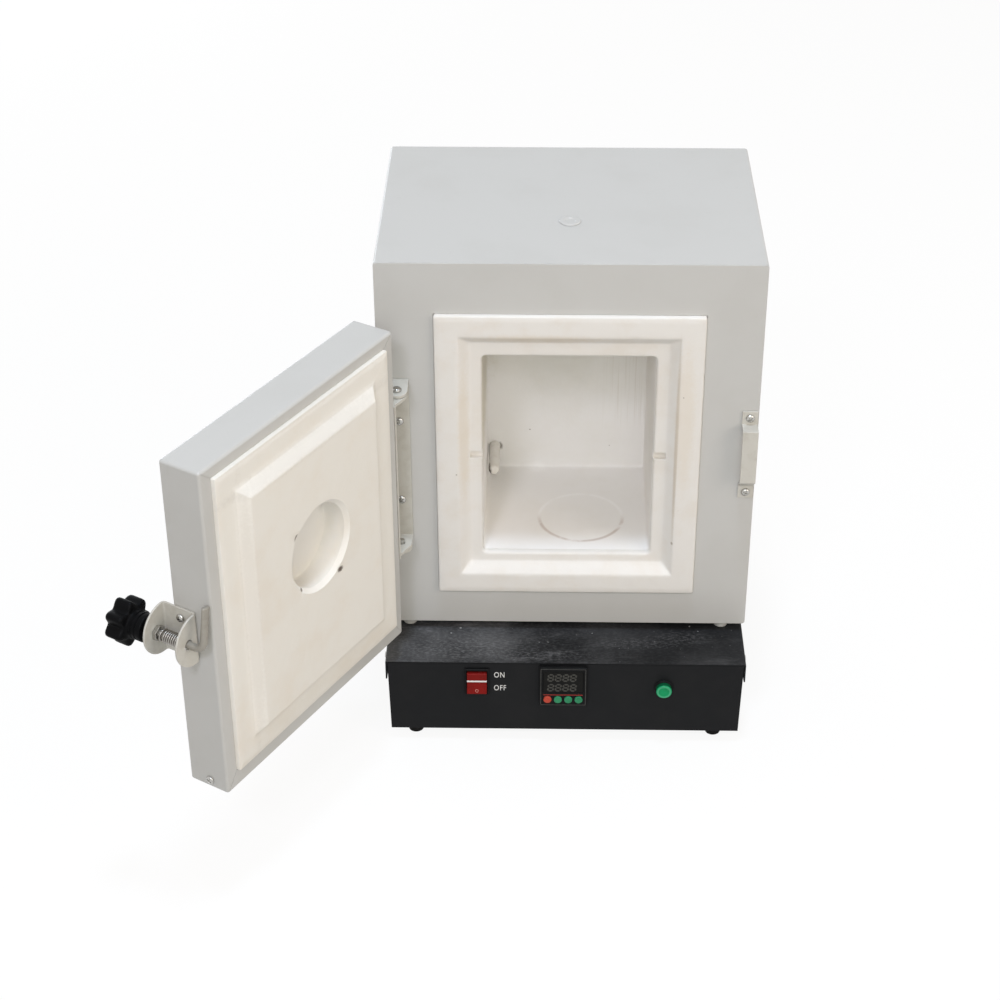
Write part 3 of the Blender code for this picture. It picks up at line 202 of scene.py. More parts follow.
def away(spot, centre, size):  # 1 at the edge of an oval patch, 0 at its middle
    shift = spot.node("ShaderNodeVectorMath", {"operation": "SUBTRACT"}, {0: spot, 1: centre})
    shift = shift.node("ShaderNodeVectorMath", {"operation": "DIVIDE"}, {0: shift, 1: size})
    return shift.node("ShaderNodeVectorMath", {"operation": "LENGTH"}, {0: shift}, "Value")


def patch(spot, centre, size, ragged=0.5, soft=0.5):  # a stain with a ragged edge
    wave = cloud(spot, min(size) * 0.6, 4, 0.6)
    return 1 - step(away(spot, centre, size) + (wave - 0.5) * (2 * ragged), 1 - soft, 1 + soft)


def specks(spot, cell, share, seed=0.0):  # small uneven dots, in a share of the cells
    moved = spot.node("ShaderNodeVectorMath", {"operation": "ADD"}, {0: spot, 1: (seed, seed, seed)})
    sockets = {"Vector": moved, "Scale": 1 / cell}
    near = spot.node("ShaderNodeTexVoronoi", None, sockets, "Distance")
    pick = spot.node("ShaderNodeTexVoronoi", None, sockets, "Color")
    chosen = part(pick, 0) < share
    ragged = (cloud(moved, cell * 0.12, 2) - 0.5) * 0.16
    return (1 - step(near + ragged - part(pick, 1) * 0.07, 0.02, 0.09)) * chosen


# finishes
def makePaint(name, look, place=furnacePlace):
    made, shader, spot = newFinish(name, specular=look["specular"])
    here = seenIn(spot, place)
    blotch = cloud(here, look["blotch"], 4, 0.55)
    rub = step(cloud(stretched(here, (1, 1, 0.3)), 9, 5, 0.65), 0.6, 0.78)
    worn = step(blotch, 0.42, 0.7)
    base = tint(worn * look["grime"], look["colour"], look["dull"])
    base = tint(rub * 0.25, base, look["dull"])
    if look.get("dust"):
        low, shade, amount, swept = look["dust"]
        grit = specks(here, 9.0, 0.16) + specks(here, 3.6, 0.2, 7.3) * 0.5
        smear = step(cloud(stretched(here, (0.3, 1, 1)), 22, 7, 0.72), 0.52, 0.74)
        film = step(cloud(here, 80, 4, 0.55), 0.3, 0.72)
        grain = step(cloud(stretched(here, (0.5, 1, 1)), 2.2, 4, 0.7), 0.42, 0.66)
        leftward = step(part(here, 0), 130, -120)
        topside = part(here, 2) > low
        dusty = (film * 0.32 + smear * 0.42 + grain * 0.14) * (leftward * 0.85 + 0.3)
        for centre, size in swept:
            dusty = dusty + patch(here, centre, size, 1.4, 1.0) * (smear * 0.25 + grain * 0.2)
        base = tint(topside * dusty.maths("MINIMUM", dusty * amount, 1.0), base, shade)
        base = tint(topside * grit * 0.7, base, (0.46, 0.46, 0.45))
    feed(shader, "Base Color", base)
    feed(shader, "Roughness", blotch * 0.1 + rub * 0.12 + look["roughness"])
    peel = cloud(here, look["peel"], 3, 0.55)
    feed(shader, "Normal", bump(peel, look["peelDepth"]))
    return made


casingLook = {
    "colour": (0.557, 0.554, 0.535), "dull": (0.51, 0.505, 0.48), "grime": 0.3, "blotch": 70,
    "roughness": 0.26, "specular": 0.38, "peel": 0.9, "peelDepth": 0.008,
}
bracketLook = {
    "colour": (0.58, 0.565, 0.515), "dull": (0.46, 0.435, 0.38), "grime": 0.45, "blotch": 11,
    "roughness": 0.3, "specular": 0.5, "peel": 0.7, "peelDepth": 0.012,
}
baseLook = {
    "colour": (0.0090, 0.0095, 0.0105), "dull": (0.013, 0.013, 0.0138), "grime": 0.5, "blotch": 35,
    "roughness": 0.4, "specular": 0.11, "peel": 0.7, "peelDepth": 0.02,
}
swept = [((80, -24, 99), (30, 6, 4)), ((-100, -34, 99), (42, 12, 4)), ((-25, -46, 99), (34, 6, 4)),
    ((120, -12, 99), (20, 7, 4))]
coverLook = dict(baseLook, dust=(98.6, (0.19, 0.19, 0.193), 1.2, swept))
casingPaint = makePaint("casingPaint", casingLook)
doorPaint = makePaint("doorPaint", casingLook, doorPlace)
bracketPaint = makePaint("bracketPaint", bracketLook)
doorBracketPaint = makePaint("doorBracketPaint", bracketLook, doorPlace)
basePaint = makePaint("basePaint", baseLook)
coverPaint = makePaint("coverPaint", coverLook)


def makeFibre(name, look, place, stainsAndShade=()):
    made, shader, spot = newFinish(name, roughness=0.95, specular=0.12)
    here = seenIn(spot, place)
    blotch = step(cloud(here, look["blotch"], 5, 0.6), 0.44, 0.72)
    base = tint(blotch * look["mottle"], look["colour"], look["warm"])
    grit = specks(here, 7.0, look["grit"], 3.1)
    fluff = cloud(here, 1.1, 5, 0.7)
    base = tint(step(fluff, 0.35, 0.75) * 0.12, base, look["warm"])
    if look.get("streaks"):
        low, high = look["streaks"]
        lines = step(cloud(stretched(here, (1, 0.2, 0.015)), 2.2, 2), 0.5, 0.66)
        inside = step(part(here, 0), low[0] - 12, low[0] + 14) * step(part(here, 2), low[2], low[2] + 30)
        base = tint(lines * inside * (part(here, 1) > high[1]) * 0.3, base, (0.70, 0.66, 0.60))
    # stains, and patches of painted shade where the list gives them
    for centre, size, shade, amount in stainsAndShade:
        base = tint(patch(here, centre, size) * amount, base, shade)
    base = tint(grit * 0.7, base, (0.34, 0.30, 0.25))
    if look.get("ring"):  # where a hot dish has stood
        centre, radius, wide = look["ring"]
        reach = away(here, centre, (1, 1, 1)) - radius
        front = step(part(here, 1), centre[1] + 12, centre[1] - 14)
        line = 1 - step(reach.maths("ABSOLUTE", reach), wide * 0.15, wide)
        broken = step(cloud(here, 18, 3), 0.3, 0.5)
        base = tint(line * front * broken * 0.75, base, (0.60, 0.525, 0.48))
        base = tint(line * (1 - front) * broken * 0.6, base, (0.97, 0.96, 0.95))
    feed(shader, "Base Color", base)
    lumps = cloud(here, look["lump"], 4, 0.6)
    strands = cloud(stretched(here, look["strands"]), 1.6, 3, 0.6)
    feed(shader, "Normal", bump(fluff * 0.5 + lumps + strands * 0.4, 0.22, 0.75))
    return made


frameLook = {
    "colour": (0.79, 0.77, 0.736), "warm": (0.74, 0.69, 0.62), "mottle": 0.5, "blotch": 34,
    "grit": 0.012, "lump": 7, "strands": (0.25, 1, 1),
}
wallLook = dict(frameLook, colour=(0.90, 0.885, 0.865), warm=(0.86, 0.84, 0.80), blotch=45, grit=0.006)
liningLook = dict(wallLook, ring=((15, 68, 189.9), 42.5, 2.8), streaks=((38, 0, 232), (83, 160, 412)))
padLook = dict(frameLook, colour=(0.854, 0.832, 0.779), warm=(0.81, 0.75, 0.66), blotch=60, grit=0.004)
frameStains = [
    ((-30, -4, 436), (60, 14, 6), (0.74, 0.645, 0.52), 0.5),
    ((-101, 0, 330), (5, 14, 65), (0.74, 0.66, 0.54), 0.45),
    ((104, -4, 320), (1.5, 5, 95), (0.50, 0.40, 0.29), 0.5),
    ((111, -5, 350), (9, 5, 70), (0.74, 0.665, 0.56), 0.45),
    ((-86, 2, 171), (1.6, 4, 1.2), (0.30, 0.25, 0.20), 0.7),
    ((104, -4, 208), (1.0, 4, 1.6), (0.35, 0.29, 0.23), 0.7),
]
frameFibre = makeFibre("frameFibre", frameLook, furnacePlace, frameStains)
# chamber marks: painted shade on the upper back and upper left walls, then pale patches and a dark scorch
# mark
wallStainsAndShade = [
    ((-12, 166, 388), (105, 70, 78), (0.76, 0.745, 0.685), 0.8),  # painted shade: the upper back wall and the rear of the walls darker and greyer, as in the shadow of the mouth's top edge
    # painted shade: the upper left wall darker and olive
    ((-83, 70, 372), (14, 110, 80), (0.70, 0.67, 0.575), 0.9),
    ((-73, 164, 222), (9, 6, 12), (0.93, 0.92, 0.90), 0.6),
    ((-70, 164, 215), (3, 5, 4), (0.20, 0.17, 0.14), 0.8),
    ((-30, 160, 191), (9, 7, 5), (0.97, 0.96, 0.94), 0.6),
    ((40, 40, 190), (26, 9, 3), (0.97, 0.955, 0.93), 0.4),
]
wallFibre = makeFibre("wallFibre", wallLook, furnacePlace)
liningFibre = makeFibre("liningFibre", liningLook, furnacePlace, wallStainsAndShade)
# pad marks: painted shade first, then dark chips, which also dent the pad
padStainsAndShade = [
    # painted shade: the recess, darker and greyer
    ((162.1, 4, 320.3), (46, 15, 46), (0.785, 0.775, 0.75), 0.85),
    # painted shade: a darker strip down one side slope, the top slope and the pad's top edge
    ((259, 21, 302), (6, 9, 132), (0.77, 0.74, 0.685), 0.9),
    ((162, 21, 429.5), (122, 9, 7), (0.74, 0.715, 0.665), 0.95),
    ((162, 16, 459), (135, 5, 3), (0.73, 0.70, 0.64), 0.8),
    ((195.8, 24, 347.6), (2.8, 5, 4.4), (0.13, 0.10, 0.085), 0.95),
    ((135.3, 24, 279.2), (3.6, 4, 2.6), (0.12, 0.09, 0.075), 0.95),
    ((191.8, 24, 290.0), (1.7, 4, 1.6), (0.16, 0.13, 0.11), 0.9),
]
padFibre = makeFibre("padFibre", padLook, doorPlace, padStainsAndShade)


def makeMetal(name, look, place):
    made, shader, spot = newFinish(name, metallic=look["metallic"], colour=look["colour"])
    here = seenIn(spot, place)
    film = cloud(here, look["blotch"], 4, 0.6)
    base = tint(step(film, 0.45, 0.75) * look["tarnish"], look["colour"], look["dull"])
    feed(shader, "Base Color", base)
    lines = cloud(stretched(here, look["brushed"]), 0.5, 3, 0.6)
    feed(shader, "Roughness", film * 0.14 + lines * 0.1 + look["roughness"])
    feed(shader, "Normal", bump(lines, 0.01, 0.5))
    return made


steelLook = {
    "colour": (0.50, 0.49, 0.465), "dull": (0.27, 0.255, 0.23), "metallic": 1.0, "blotch": 3,
    "tarnish": 0.45, "roughness": 0.14, "brushed": (1, 1, 0.25),
}
hookLook = dict(steelLook, colour=(0.33, 0.31, 0.27), dull=(0.23, 0.21, 0.18), metallic=0.35,
    roughness=0.4, blotch=6)
springLook = dict(steelLook, colour=(0.36, 0.34, 0.315), dull=(0.2, 0.185, 0.165), roughness=0.24, blotch=2)
aluminiumLook = dict(steelLook, colour=(0.72, 0.72, 0.73), dull=(0.5, 0.5, 0.5), roughness=0.25)
wireLook = dict(steelLook, colour=(0.20, 0.18, 0.17), dull=(0.12, 0.10, 0.09), roughness=0.4)
steel = makeMetal("steel", steelLook, furnacePlace)
doorSteel = makeMetal("doorSteel", steelLook, doorPlace)
hookSteel = makeMetal("hookSteel", hookLook, doorPlace)
springSteel = makeMetal("springSteel", springLook, doorPlace)
aluminium = makeMetal("aluminium", aluminiumLook, furnacePlace)
hotWire = makeMetal("hotWire", wireLook, furnacePlace)


def makePlastic(name, look, place=furnacePlace):
    fixed = {"specular": look.get("specular", 0.4), "coat": look.get("coat", 0.0), "coatRoughness": 0.06}
    made, shader, spot = newFinish(name, **fixed)
    here = seenIn(spot, place)
    shade = cloud(here, look["blotch"], 3, 0.5)
    base = tint(step(shade, 0.35, 0.75), look["colour"], look["second"])
    for centre, size, tone, amount in look.get("marks", ()):
        base = tint(patch(here, centre, size) * amount, base, tone)
    if look.get("lens"):  # a green disc, with a painted highlight on a paler ring near its rim and painted shade round the side
        centre, rim, edge = look["lens"]
        reach = away(here, centre, (1, 1000, 1))
        ring = step(reach, rim - 1.3, rim - 0.3) * (1 - step(reach, rim + 0.3, edge - 0.2))
        base = tint(ring * 0.55, base, (0.10, 0.46, 0.27))
        base = tint(step(reach, edge - 0.35, edge - 0.05), base, (0.003, 0.085, 0.032))
    feed(shader, "Base Color", base)
    feed(shader, "Roughness", shade * 0.12 + look["roughness"])
    grain = cloud(here, look["grain"], 2, 0.5)
    feed(shader, "Normal", bump(grain, look["depth"]))
    return made


blackLook = {
    "colour": (0.0055, 0.0058, 0.006), "second": (0.0075, 0.0076, 0.0078), "roughness": 0.36, "blotch": 9,
    "grain": 0.35, "depth": 0.008, "specular": 0.08,
}
knobLook = dict(blackLook, colour=(0.0033, 0.0034, 0.0038), second=(0.0045, 0.0045, 0.005), specular=0.05)
redLook = dict(blackLook, colour=(0.20, 0.0095, 0.0075), second=(0.165, 0.0085, 0.007), roughness=0.2,
    specular=0.07)
buttonRedLook = dict(redLook, colour=(0.52, 0.08, 0.05), second=(0.42, 0.06, 0.04), roughness=0.3)
buttonGreenLook = dict(buttonRedLook, colour=(0.045, 0.27, 0.13), second=(0.03, 0.20, 0.095))
windowLook = dict(blackLook, colour=(0.0085, 0.0085, 0.0078), second=(0.007, 0.007, 0.0065),
    roughness=0.08, grain=4, depth=0.002)
digitLook = dict(blackLook, colour=(0.072, 0.072, 0.065), second=(0.056, 0.055, 0.05), roughness=0.2)
lensLook = dict(
    redLook, colour=(0.006, 0.31, 0.115), second=(0.006, 0.26, 0.095), blotch=5, coat=0.1, specular=0.1,
    lens=((99, -60, 69), 6.2, 8.0),
)
inkLook = dict(blackLook, colour=(0.78, 0.78, 0.76), second=(0.66, 0.66, 0.65), roughness=0.5, blotch=2.5)
greyRubberLook = dict(blackLook, colour=(0.50, 0.50, 0.48), second=(0.42, 0.42, 0.41), roughness=0.65,
    depth=0.02)
rubberLook = dict(blackLook, colour=(0.012, 0.012, 0.012), second=(0.02, 0.02, 0.02), roughness=0.75,
    depth=0.03)
relayLook = dict(blackLook, colour=(0.55, 0.55, 0.52), second=(0.48, 0.48, 0.45), roughness=0.45)
ceramicLook = dict(
    blackLook, colour=(0.86, 0.84, 0.80), second=(0.80, 0.77, 0.72), roughness=0.7, blotch=6, grain=0.8,
    depth=0.05,
    # painted shade: dark marks at the sheath's left side, in the gap to the left wall, and under its tip
    marks=[((-80.5, 118, 214), (3, 8, 6), (0.05, 0.04, 0.035), 0.9),
        ((-69.8, 116, 211), (2, 4, 2), (0.05, 0.04, 0.035), 0.9)],
)
blackPlastic = makePlastic("blackPlastic", blackLook)
knobPlastic = makePlastic("knobPlastic", knobLook, doorPlace)
redPlastic = makePlastic("redPlastic", redLook)
buttonRed = makePlastic("buttonRed", buttonRedLook)
buttonGreen = makePlastic("buttonGreen", buttonGreenLook)
windowGlass = makePlastic("windowGlass", windowLook)
digitGrey = makePlastic("digitGrey", digitLook)
lensGreen = makePlastic("lensGreen", lensLook)
# white for the printed words, and for the painted highlight band on the rocker
whiteInkAndHighlight = makePlastic("whiteInkAndHighlight", inkLook)
pinkInk = makePlastic("pinkInk", dict(inkLook, colour=(0.50, 0.20, 0.17), second=(0.42, 0.15, 0.13)))
# grey for the painted highlight round the controller's face
edgeHighlightGrey = makePlastic("edgeHighlightGrey", dict(inkLook, colour=(0.085, 0.085, 0.082),
    second=(0.055, 0.055, 0.053)))
lineRed = makePlastic("lineRed", dict(inkLook, colour=(0.40, 0.06, 0.045), second=(0.32, 0.045, 0.035)))
greyRubber = makePlastic("greyRubber", greyRubberLook)
blackRubber = makePlastic("blackRubber", rubberLook)
relayPlastic = makePlastic("relayPlastic", relayLook)
sensorCeramic = makePlastic("sensorCeramic", ceramicLook)
print("finishes made")


# mesh building
def meshOf(shape, name="drawn"):
    mesh = bpy.data.meshes.new(name)
    shape.to_mesh(mesh)
    shape.free()
    return mesh


def plainMesh(piece):  # the mesh with its modifiers made part of it
    graph = bpy.context.evaluated_depsgraph_get()
    return bpy.data.meshes.new_from_object(piece.evaluated_get(graph))


def placed(name, mesh):
    piece = bpy.data.objects.new(name, mesh)
    scene.collection.objects.link(piece)
    return piece


def carved(mesh, cutters, operation="DIFFERENCE"):
    base = placed("base", mesh)
    tools = [placed("tool", cutter) for cutter in cutters]
    for tool in tools:
        made = base.modifiers.new("cut", "BOOLEAN")
        made.operation, made.solver, made.object = operation, "EXACT", tool
    result = plainMesh(base)
    for spare in (base, *tools):
        bpy.data.objects.remove(spare)
    return result


def outward(mesh):
    shape = bmesh.new()
    shape.from_mesh(mesh)
    bmesh.ops.recalc_face_normals(shape, faces=shape.faces)
    shape.to_mesh(mesh)
    shape.free()


def addPiece(name, mesh, place, body, finish, stands=(), bevel=0.0, segments=2, sharp=35):
    if place:
        mesh.transform(place @ Matrix.Scale(mm, 4))
    mesh.materials.clear()
    mesh.materials.append(finish)
    mesh.shade_smooth()
    piece = placed(name, mesh)
    if bevel:
        edge = piece.modifiers.new("edge", "BEVEL")
        edge.width, edge.segments, edge.limit_method = bevel * mm, segments, "ANGLE"
        edge.angle_limit = math.radians(sharp)
        piece.modifiers.new("even", "WEIGHTED_NORMAL").weight = 60
        piece.data = plainMesh(piece)
        piece.modifiers.clear()
    else:
        mesh.set_sharp_from_angle(angle=math.radians(sharp))
    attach(piece, body)
    if stands:
        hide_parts(*stands)
    return piece


def nodeCopy(node):  # a node's mesh, merged, with flat faces made whole
    shape = bmesh.new()
    shape.from_mesh(nodes[node].data)
    bmesh.ops.remove_doubles(shape, verts=shape.verts, dist=0.000002)
    limit = math.radians(0.6)
    bmesh.ops.dissolve_limit(shape, angle_limit=limit, verts=shape.verts, edges=shape.edges)
    return meshOf(shape)


def arc(centre, radius, start, end, steps):
    turns = [math.radians(start + (end - start) * i / steps) for i in range(steps + 1)]
    return [(centre[0] + radius * math.cos(a), centre[1] + radius * math.sin(a)) for a in turns]


def rounded(points, radius, steps=4, closed=True):  # an outline with its corners rounded
    line = []
    count = len(points)
    for i, here in enumerate(points):
        here, size = Vector(here[:2]), here[2] if len(here) > 2 else radius
        if not size or (not closed and i in (0, count - 1)):
            line.append(tuple(here))
            continue
        ways = [Vector(points[(i + d) % count][:2]) - here for d in (-1, 1)]
        bend = ways[0].angle(ways[1])
        cut = min(size / math.tan(bend / 2), 0.49 * ways[0].length, 0.49 * ways[1].length)
        ends = [here + way.normalized() * cut for way in ways]
        for j in range(steps + 1):
            t = j / steps
            line.append(tuple(ends[0] * (1 - t) ** 2 + here * (2 * t * (1 - t)) + ends[1] * t * t))
    return line


def prism(outline, start, end, axis):  # an outline in the two other axes, drawn out along one
    order = {"x": (2, 0, 1), "y": (0, 2, 1), "z": (0, 1, 2)}[axis]
    shape = bmesh.new()
    rings = []
    for along in (start, end):
        rings.append([shape.verts.new([(*point[:2], along)[i] for i in order]) for point in outline])
    for ring in rings:
        shape.faces.new(ring)
    joinRings(shape, *rings)
    bmesh.ops.recalc_face_normals(shape, faces=shape.faces)
    return meshOf(shape)


def joinRings(shape, first, second):
    count = len(first)
    for i in range(count):
        j = (i + 1) % count
        shape.faces.new((first[i], first[j], second[j], second[i]))


def rectLoop(low, high, radius, perSide, perCorner=4):  # points round a rounded rectangle
    corners = [(high[0], high[1], 0), (low[0], high[1], 90), (low[0], low[1], 180), (high[0], low[1], 270)]
    middle = ((low[0] + high[0]) / 2, (low[1] + high[1]) / 2)
    arcs = []
    for x, y, start in corners:
        centre = (x - math.copysign(radius, x - middle[0]), y - math.copysign(radius, y - middle[1]))
        arcs.append(arc(centre, radius, start, start + 90, perCorner - 1))
    loop = []
    for i, curve in enumerate(arcs):
        loop += curve
        here, there = Vector(curve[-1]), Vector(arcs[(i + 1) % 4][0])
        loop += [tuple(here.lerp(there, (j + 1) / (perSide + 1))) for j in range(perSide)]
    return loop


def loft(loops, caps=(True, True), ring=False):  # loops of points, skinned in order
    shape = bmesh.new()
    rows = [[shape.verts.new(point) for point in loop] for loop in loops]
    for first, second in zip(rows, rows[1:]):
        joinRings(shape, first, second)
    if ring:
        joinRings(shape, rows[-1], rows[0])
    else:
        for row, wanted in ((rows[0], caps[0]), (rows[-1], caps[1])):
            if wanted:
                shape.faces.new(row)
    bmesh.ops.recalc_face_normals(shape, faces=shape.faces)
    return shape


def turned(profile, sides):  # (radius, height) points turned about Z
    shape = bmesh.new()
    rows = []
    for radius, height in profile:
        count = sides if radius > 1e-6 else 1
        turns = [2 * math.pi * i / count for i in range(count)]
        rows.append([shape.verts.new((radius * math.cos(a), radius * math.sin(a), height)) for a in turns])
    for first, second in zip(rows, rows[1:]):
        if len(first) == len(second):
            joinRings(shape, first, second)
        else:
            tip, rim = (first, second) if len(first) == 1 else (second, first)
            for i in range(sides):
                shape.faces.new((tip[0], rim[i], rim[(i + 1) % sides]))
    for row in (rows[0], rows[-1]):
        if len(row) > 1:
            shape.faces.new(row)
    bmesh.ops.recalc_face_normals(shape, faces=shape.faces)
    return shape


def facing(way):  # turns Z to a direction
    return Vector(way).to_track_quat("Z", "Y").to_matrix().to_4x4()


def gridSteps(low, high, radius, cell):
    inside = high - low - 2 * radius
    count = max(1, round(inside / cell))
    middle = [low + radius + inside * i / count for i in range(count + 1)]
    return [low, low + radius * 0.4, *middle, high - radius * 0.4, high]


def softBlock(low, high, radius, cell):  # a block with round edges and a grid on each face
    low, high = Vector(low), Vector(high)
    steps = [gridSteps(low[i], high[i], radius, cell) for i in range(3)]
    shape = bmesh.new()
    for axis in range(3):
        a, b = (axis + 1) % 3, (axis + 2) % 3
        for at in (low[axis], high[axis]):
            rows = []
            for u in steps[a]:
                row = []
                for v in steps[b]:
                    spot = [0, 0, 0]
                    spot[axis], spot[a], spot[b] = at, u, v
                    row.append(shape.verts.new(spot))
                rows.append(row)
            for r, row in enumerate(rows[:-1]):
                for c in range(len(row) - 1):
                    shape.faces.new((row[c], row[c + 1], rows[r + 1][c + 1], rows[r + 1][c]))
    bmesh.ops.remove_doubles(shape, verts=shape.verts, dist=0.0001)
    for vert in shape.verts:
        core = Vector([min(max(vert.co[i], low[i] + radius), high[i] - radius) for i in range(3)])
        out = vert.co - core
        if out.length > 0:
            vert.co = core + out.normalized() * radius
    bmesh.ops.recalc_face_normals(shape, faces=shape.faces)
    return shape


def roughen(shape, amount, size, shift=0.0):  # uneven, as fibre board is
    shape.normal_update()
    moves = []
    for vert in shape.verts:
        spot = vert.co / size + Vector((shift, shift, shift))
        moves.append(vert.normal * (amount * (noise.noise(spot) + 0.5 * noise.noise(spot * 2.7))))
    for vert, move in zip(shape.verts, moves):
        vert.co += move


def chip(shape, centre, radius, depth):  # a bit broken out
    centre = Vector(centre)
    shape.normal_update()
    for vert in shape.verts:
        reach = (vert.co - centre).length / radius
        if reach < 1:
            vert.co -= vert.normal * (depth * (1 - reach * reach) ** 2)


# sheet casing
casing = {"bend": 3.0, "sheet": 1.5, "edge": 0.35}


def makeCasing():
    low, high = boxIn(furnacePlace, "casing_wrap")
    bend, sheet = casing["bend"], casing["sheet"]
    outside = [(low.x, low.z, 0), (low.x, high.z, bend), (high.x, high.z, bend), (high.x, low.z, 0)]
    inside = [
        (high.x - sheet, low.z, 0), (high.x - sheet, high.z - sheet, bend - sheet),
        (low.x + sheet, high.z - sheet, bend - sheet), (low.x + sheet, low.z, 0),
    ]
    wrap = prism(rounded(outside + inside, 0, 8), low.y, high.y, "y")
    addPiece("casingWrap", wrap, furnacePlace, "cabinet", casingPaint, ["casing_wrap"], 0.25)

    low, high = boxIn(furnacePlace, "front_panel")
    window = boxIn(furnacePlace, "front_frame")
    outer = rectLoop((low.x, low.z), (high.x, high.z), bend, 0, 9)
    inner = rectLoop((window[0].x - 0.3, window[0].z - 0.3), (window[1].x + 0.3, window[1].z + 0.3),
        0.3, 0, 9)
    levels = ((outer, low.y), (outer, high.y), (inner, high.y), (inner, low.y))
    loops = [[(x, y, z) for x, z in loop] for loop, y in levels]
    panel = meshOf(loft(loops, ring=True))
    addPiece("frontPanel", panel, furnacePlace, "cabinet", casingPaint, ["front_panel"],
        casing["edge"])

    low, high = boxIn(furnacePlace, "back_panel")
    outline = rectLoop((low.x, low.z), (high.x, high.z), bend, 0, 9)
    back = prism(outline, low.y, high.y, "y")
    addPiece("backPanel", back, furnacePlace, "cabinet", casingPaint, ["back_panel"],
        casing["edge"])
    addPiece("bottomPlate", nodeCopy("bottom_plate"), None, "cabinet", casingPaint,
        ["bottom_plate"], 0.2)


makeCasing()
print("casing made")

# control base
base = {"bend": 1.5, "sheet": 1.5}


def makeBase():
    low, high = boxIn(furnacePlace, "base_cover")
    bend, sheet = base["bend"], base["sheet"]
    outline = [
        (low.x, low.z, 0), (low.x, high.z, bend), (high.x, high.z, bend), (high.x, low.z, 0),
        (high.x - sheet, low.z, 0), (high.x - sheet, high.z - sheet, 0),
        (low.x + sheet, high.z - sheet, 0), (low.x + sheet, low.z, 0),
    ]
    cover = prism(rounded(outline, 0, 6), low.y, high.y, "y")
    addPiece("baseCover", cover, furnacePlace, "cabinet", coverPaint, ["base_cover"], 0.3)
    addPiece("baseTray", nodeCopy("base_tray"), None, "cabinet", basePaint,
        ["base_tray"], 0.4)


makeBase()
print("base made")

# fibre frame round the chamber's mouth
fibreFrame = {
    "edge": 1.4, "inner": 1.6, "corner": 2.0, "mouth": 2.4, "perSide": 64, "uneven": 0.16,
    "band": 23.0, "depth": 9.5, "notch": (12.6, 5.2, 8), "lining": 0.4, "liningStart": 10.5,
}


def makeFrame():
    low, high = boxIn(furnacePlace, "front_frame")
    mouthLow = Vector((boxIn(furnacePlace, "chamber_left_wall")[1].x, 0,
        boxIn(furnacePlace, "chamber_floor")[1].z))
    mouthHigh = Vector((boxIn(furnacePlace, "chamber_right_wall")[0].x, 0,
        boxIn(furnacePlace, "chamber_roof")[0].z))
    middle = (low.z + high.z) / 2
    band, depth = fibreFrame["band"], fibreFrame["depth"]
    edge, fine, soft = fibreFrame["edge"], fibreFrame["inner"], fibreFrame["mouth"]
    stepY, perSide = low.y + depth, fibreFrame["perSide"]
    loops = []

    def ring(inset, y, corner=fibreFrame["corner"]):
        a, b = (low.x + inset, low.z + inset), (high.x - inset, high.z - inset)
        loops.append([(u, y, v) for u, v in rectLoop(a, b, corner, perSide, 4)])

    def mouthRing(out, y):
        a, b = (mouthLow.x - out, mouthLow.z - out), (mouthHigh.x + out, mouthHigh.z + out)
        loops.append([(u, y, v) for u, v in rectLoop(a, b, 4.0 + out, perSide, 4)])

    half = 1 - math.sqrt(0.5)
    for inset, y in (
        (0, high.y), (0, 14), (0, 6), (0, low.y + edge), (edge * half, low.y + edge * half), (edge, low.y),
        (band * 0.3, low.y), (band * 0.55, low.y), (band * 0.8, low.y), (band - fine, low.y),
        (band - fine * 0.3, low.y + fine * 0.2), (band + fine * 0.3, low.y + fine * 0.65),
        (band + depth * 0.35, low.y + depth * 0.4),
        (band + depth * 0.65, low.y + depth * 0.68), (band + depth - fine * 0.6, stepY - fine * 0.5),
        (band + depth, stepY - fine * 0.15), (band + depth + fine * 0.6, stepY),
    ):
        ring(inset, y)
    mouthRing(soft + 4, stepY)
    for i in range(5):
        a = math.radians(22.5 * i)
        mouthRing(soft * (1 - math.sin(a)), stepY + soft * (1 - math.cos(a)))
    mouthRing(0, fibreFrame["liningStart"])
    for y in (fibreFrame["liningStart"] + 0.1, 18, high.y):
        mouthRing(fibreFrame["lining"] + 0.1, y)
    shape = loft(loops, ring=True)
    roughen(shape, fibreFrame["uneven"], 9.0, 2.3)
    roughen(shape, 0.06, 2.2, 5.1)
    chips = [((-104, -5, 300), 3.0, 0.9), ((61, -5, 439), 3.4, 0.8), ((104, -5, 214), 2.6, 0.8),
             ((-40, -5, 171), 3.2, 1.0), ((127, -5, 398), 2.6, 0.7), ((-127, -5, 190), 2.8, 0.8)]
    for centre, radius, deep in chips:
        chip(shape, centre, radius, deep)
    wide, deep, tall = fibreFrame["notch"]
    notches = []
    for sign in (-1, 1):
        near, far = sorted((sign * (mouthHigh.x - 1), sign * (mouthHigh.x + wide - 0.6)))
        cutter = softBlock((near, stepY - 3, middle - tall / 2), (far, stepY + deep, middle + tall / 2),
            0.5, 4)
        notches.append(meshOf(cutter))
    mesh = carved(meshOf(shape), notches)
    addPiece("fibreFrame", mesh, furnacePlace, "cabinet", frameFibre, ["front_frame"],
        sharp=55)


makeFrame()
print("fibre frame made")

# chamber boards, and the smooth skin over them
chamber = {"edge": 0.7, "cell": 6.0, "uneven": 0.14, "corner": 4.0, "fillet": 2.2, "perSide": 60,
    "sensorHole": 5.8}


def sensorHole(mesh):
    low, high = boxIn(furnacePlace, "thermocouple")
    middle = ((low.x + high.x) / 2, 0, (low.z + high.z) / 2)
    hole = turned([(chamber["sensorHole"], 300), (chamber["sensorHole"], 100)], 32)
    bmesh.ops.transform(hole, matrix=Matrix.Translation(middle) @ facing((0, 1, 0)), verts=hole.verts)
    return carved(mesh, [meshOf(hole)])


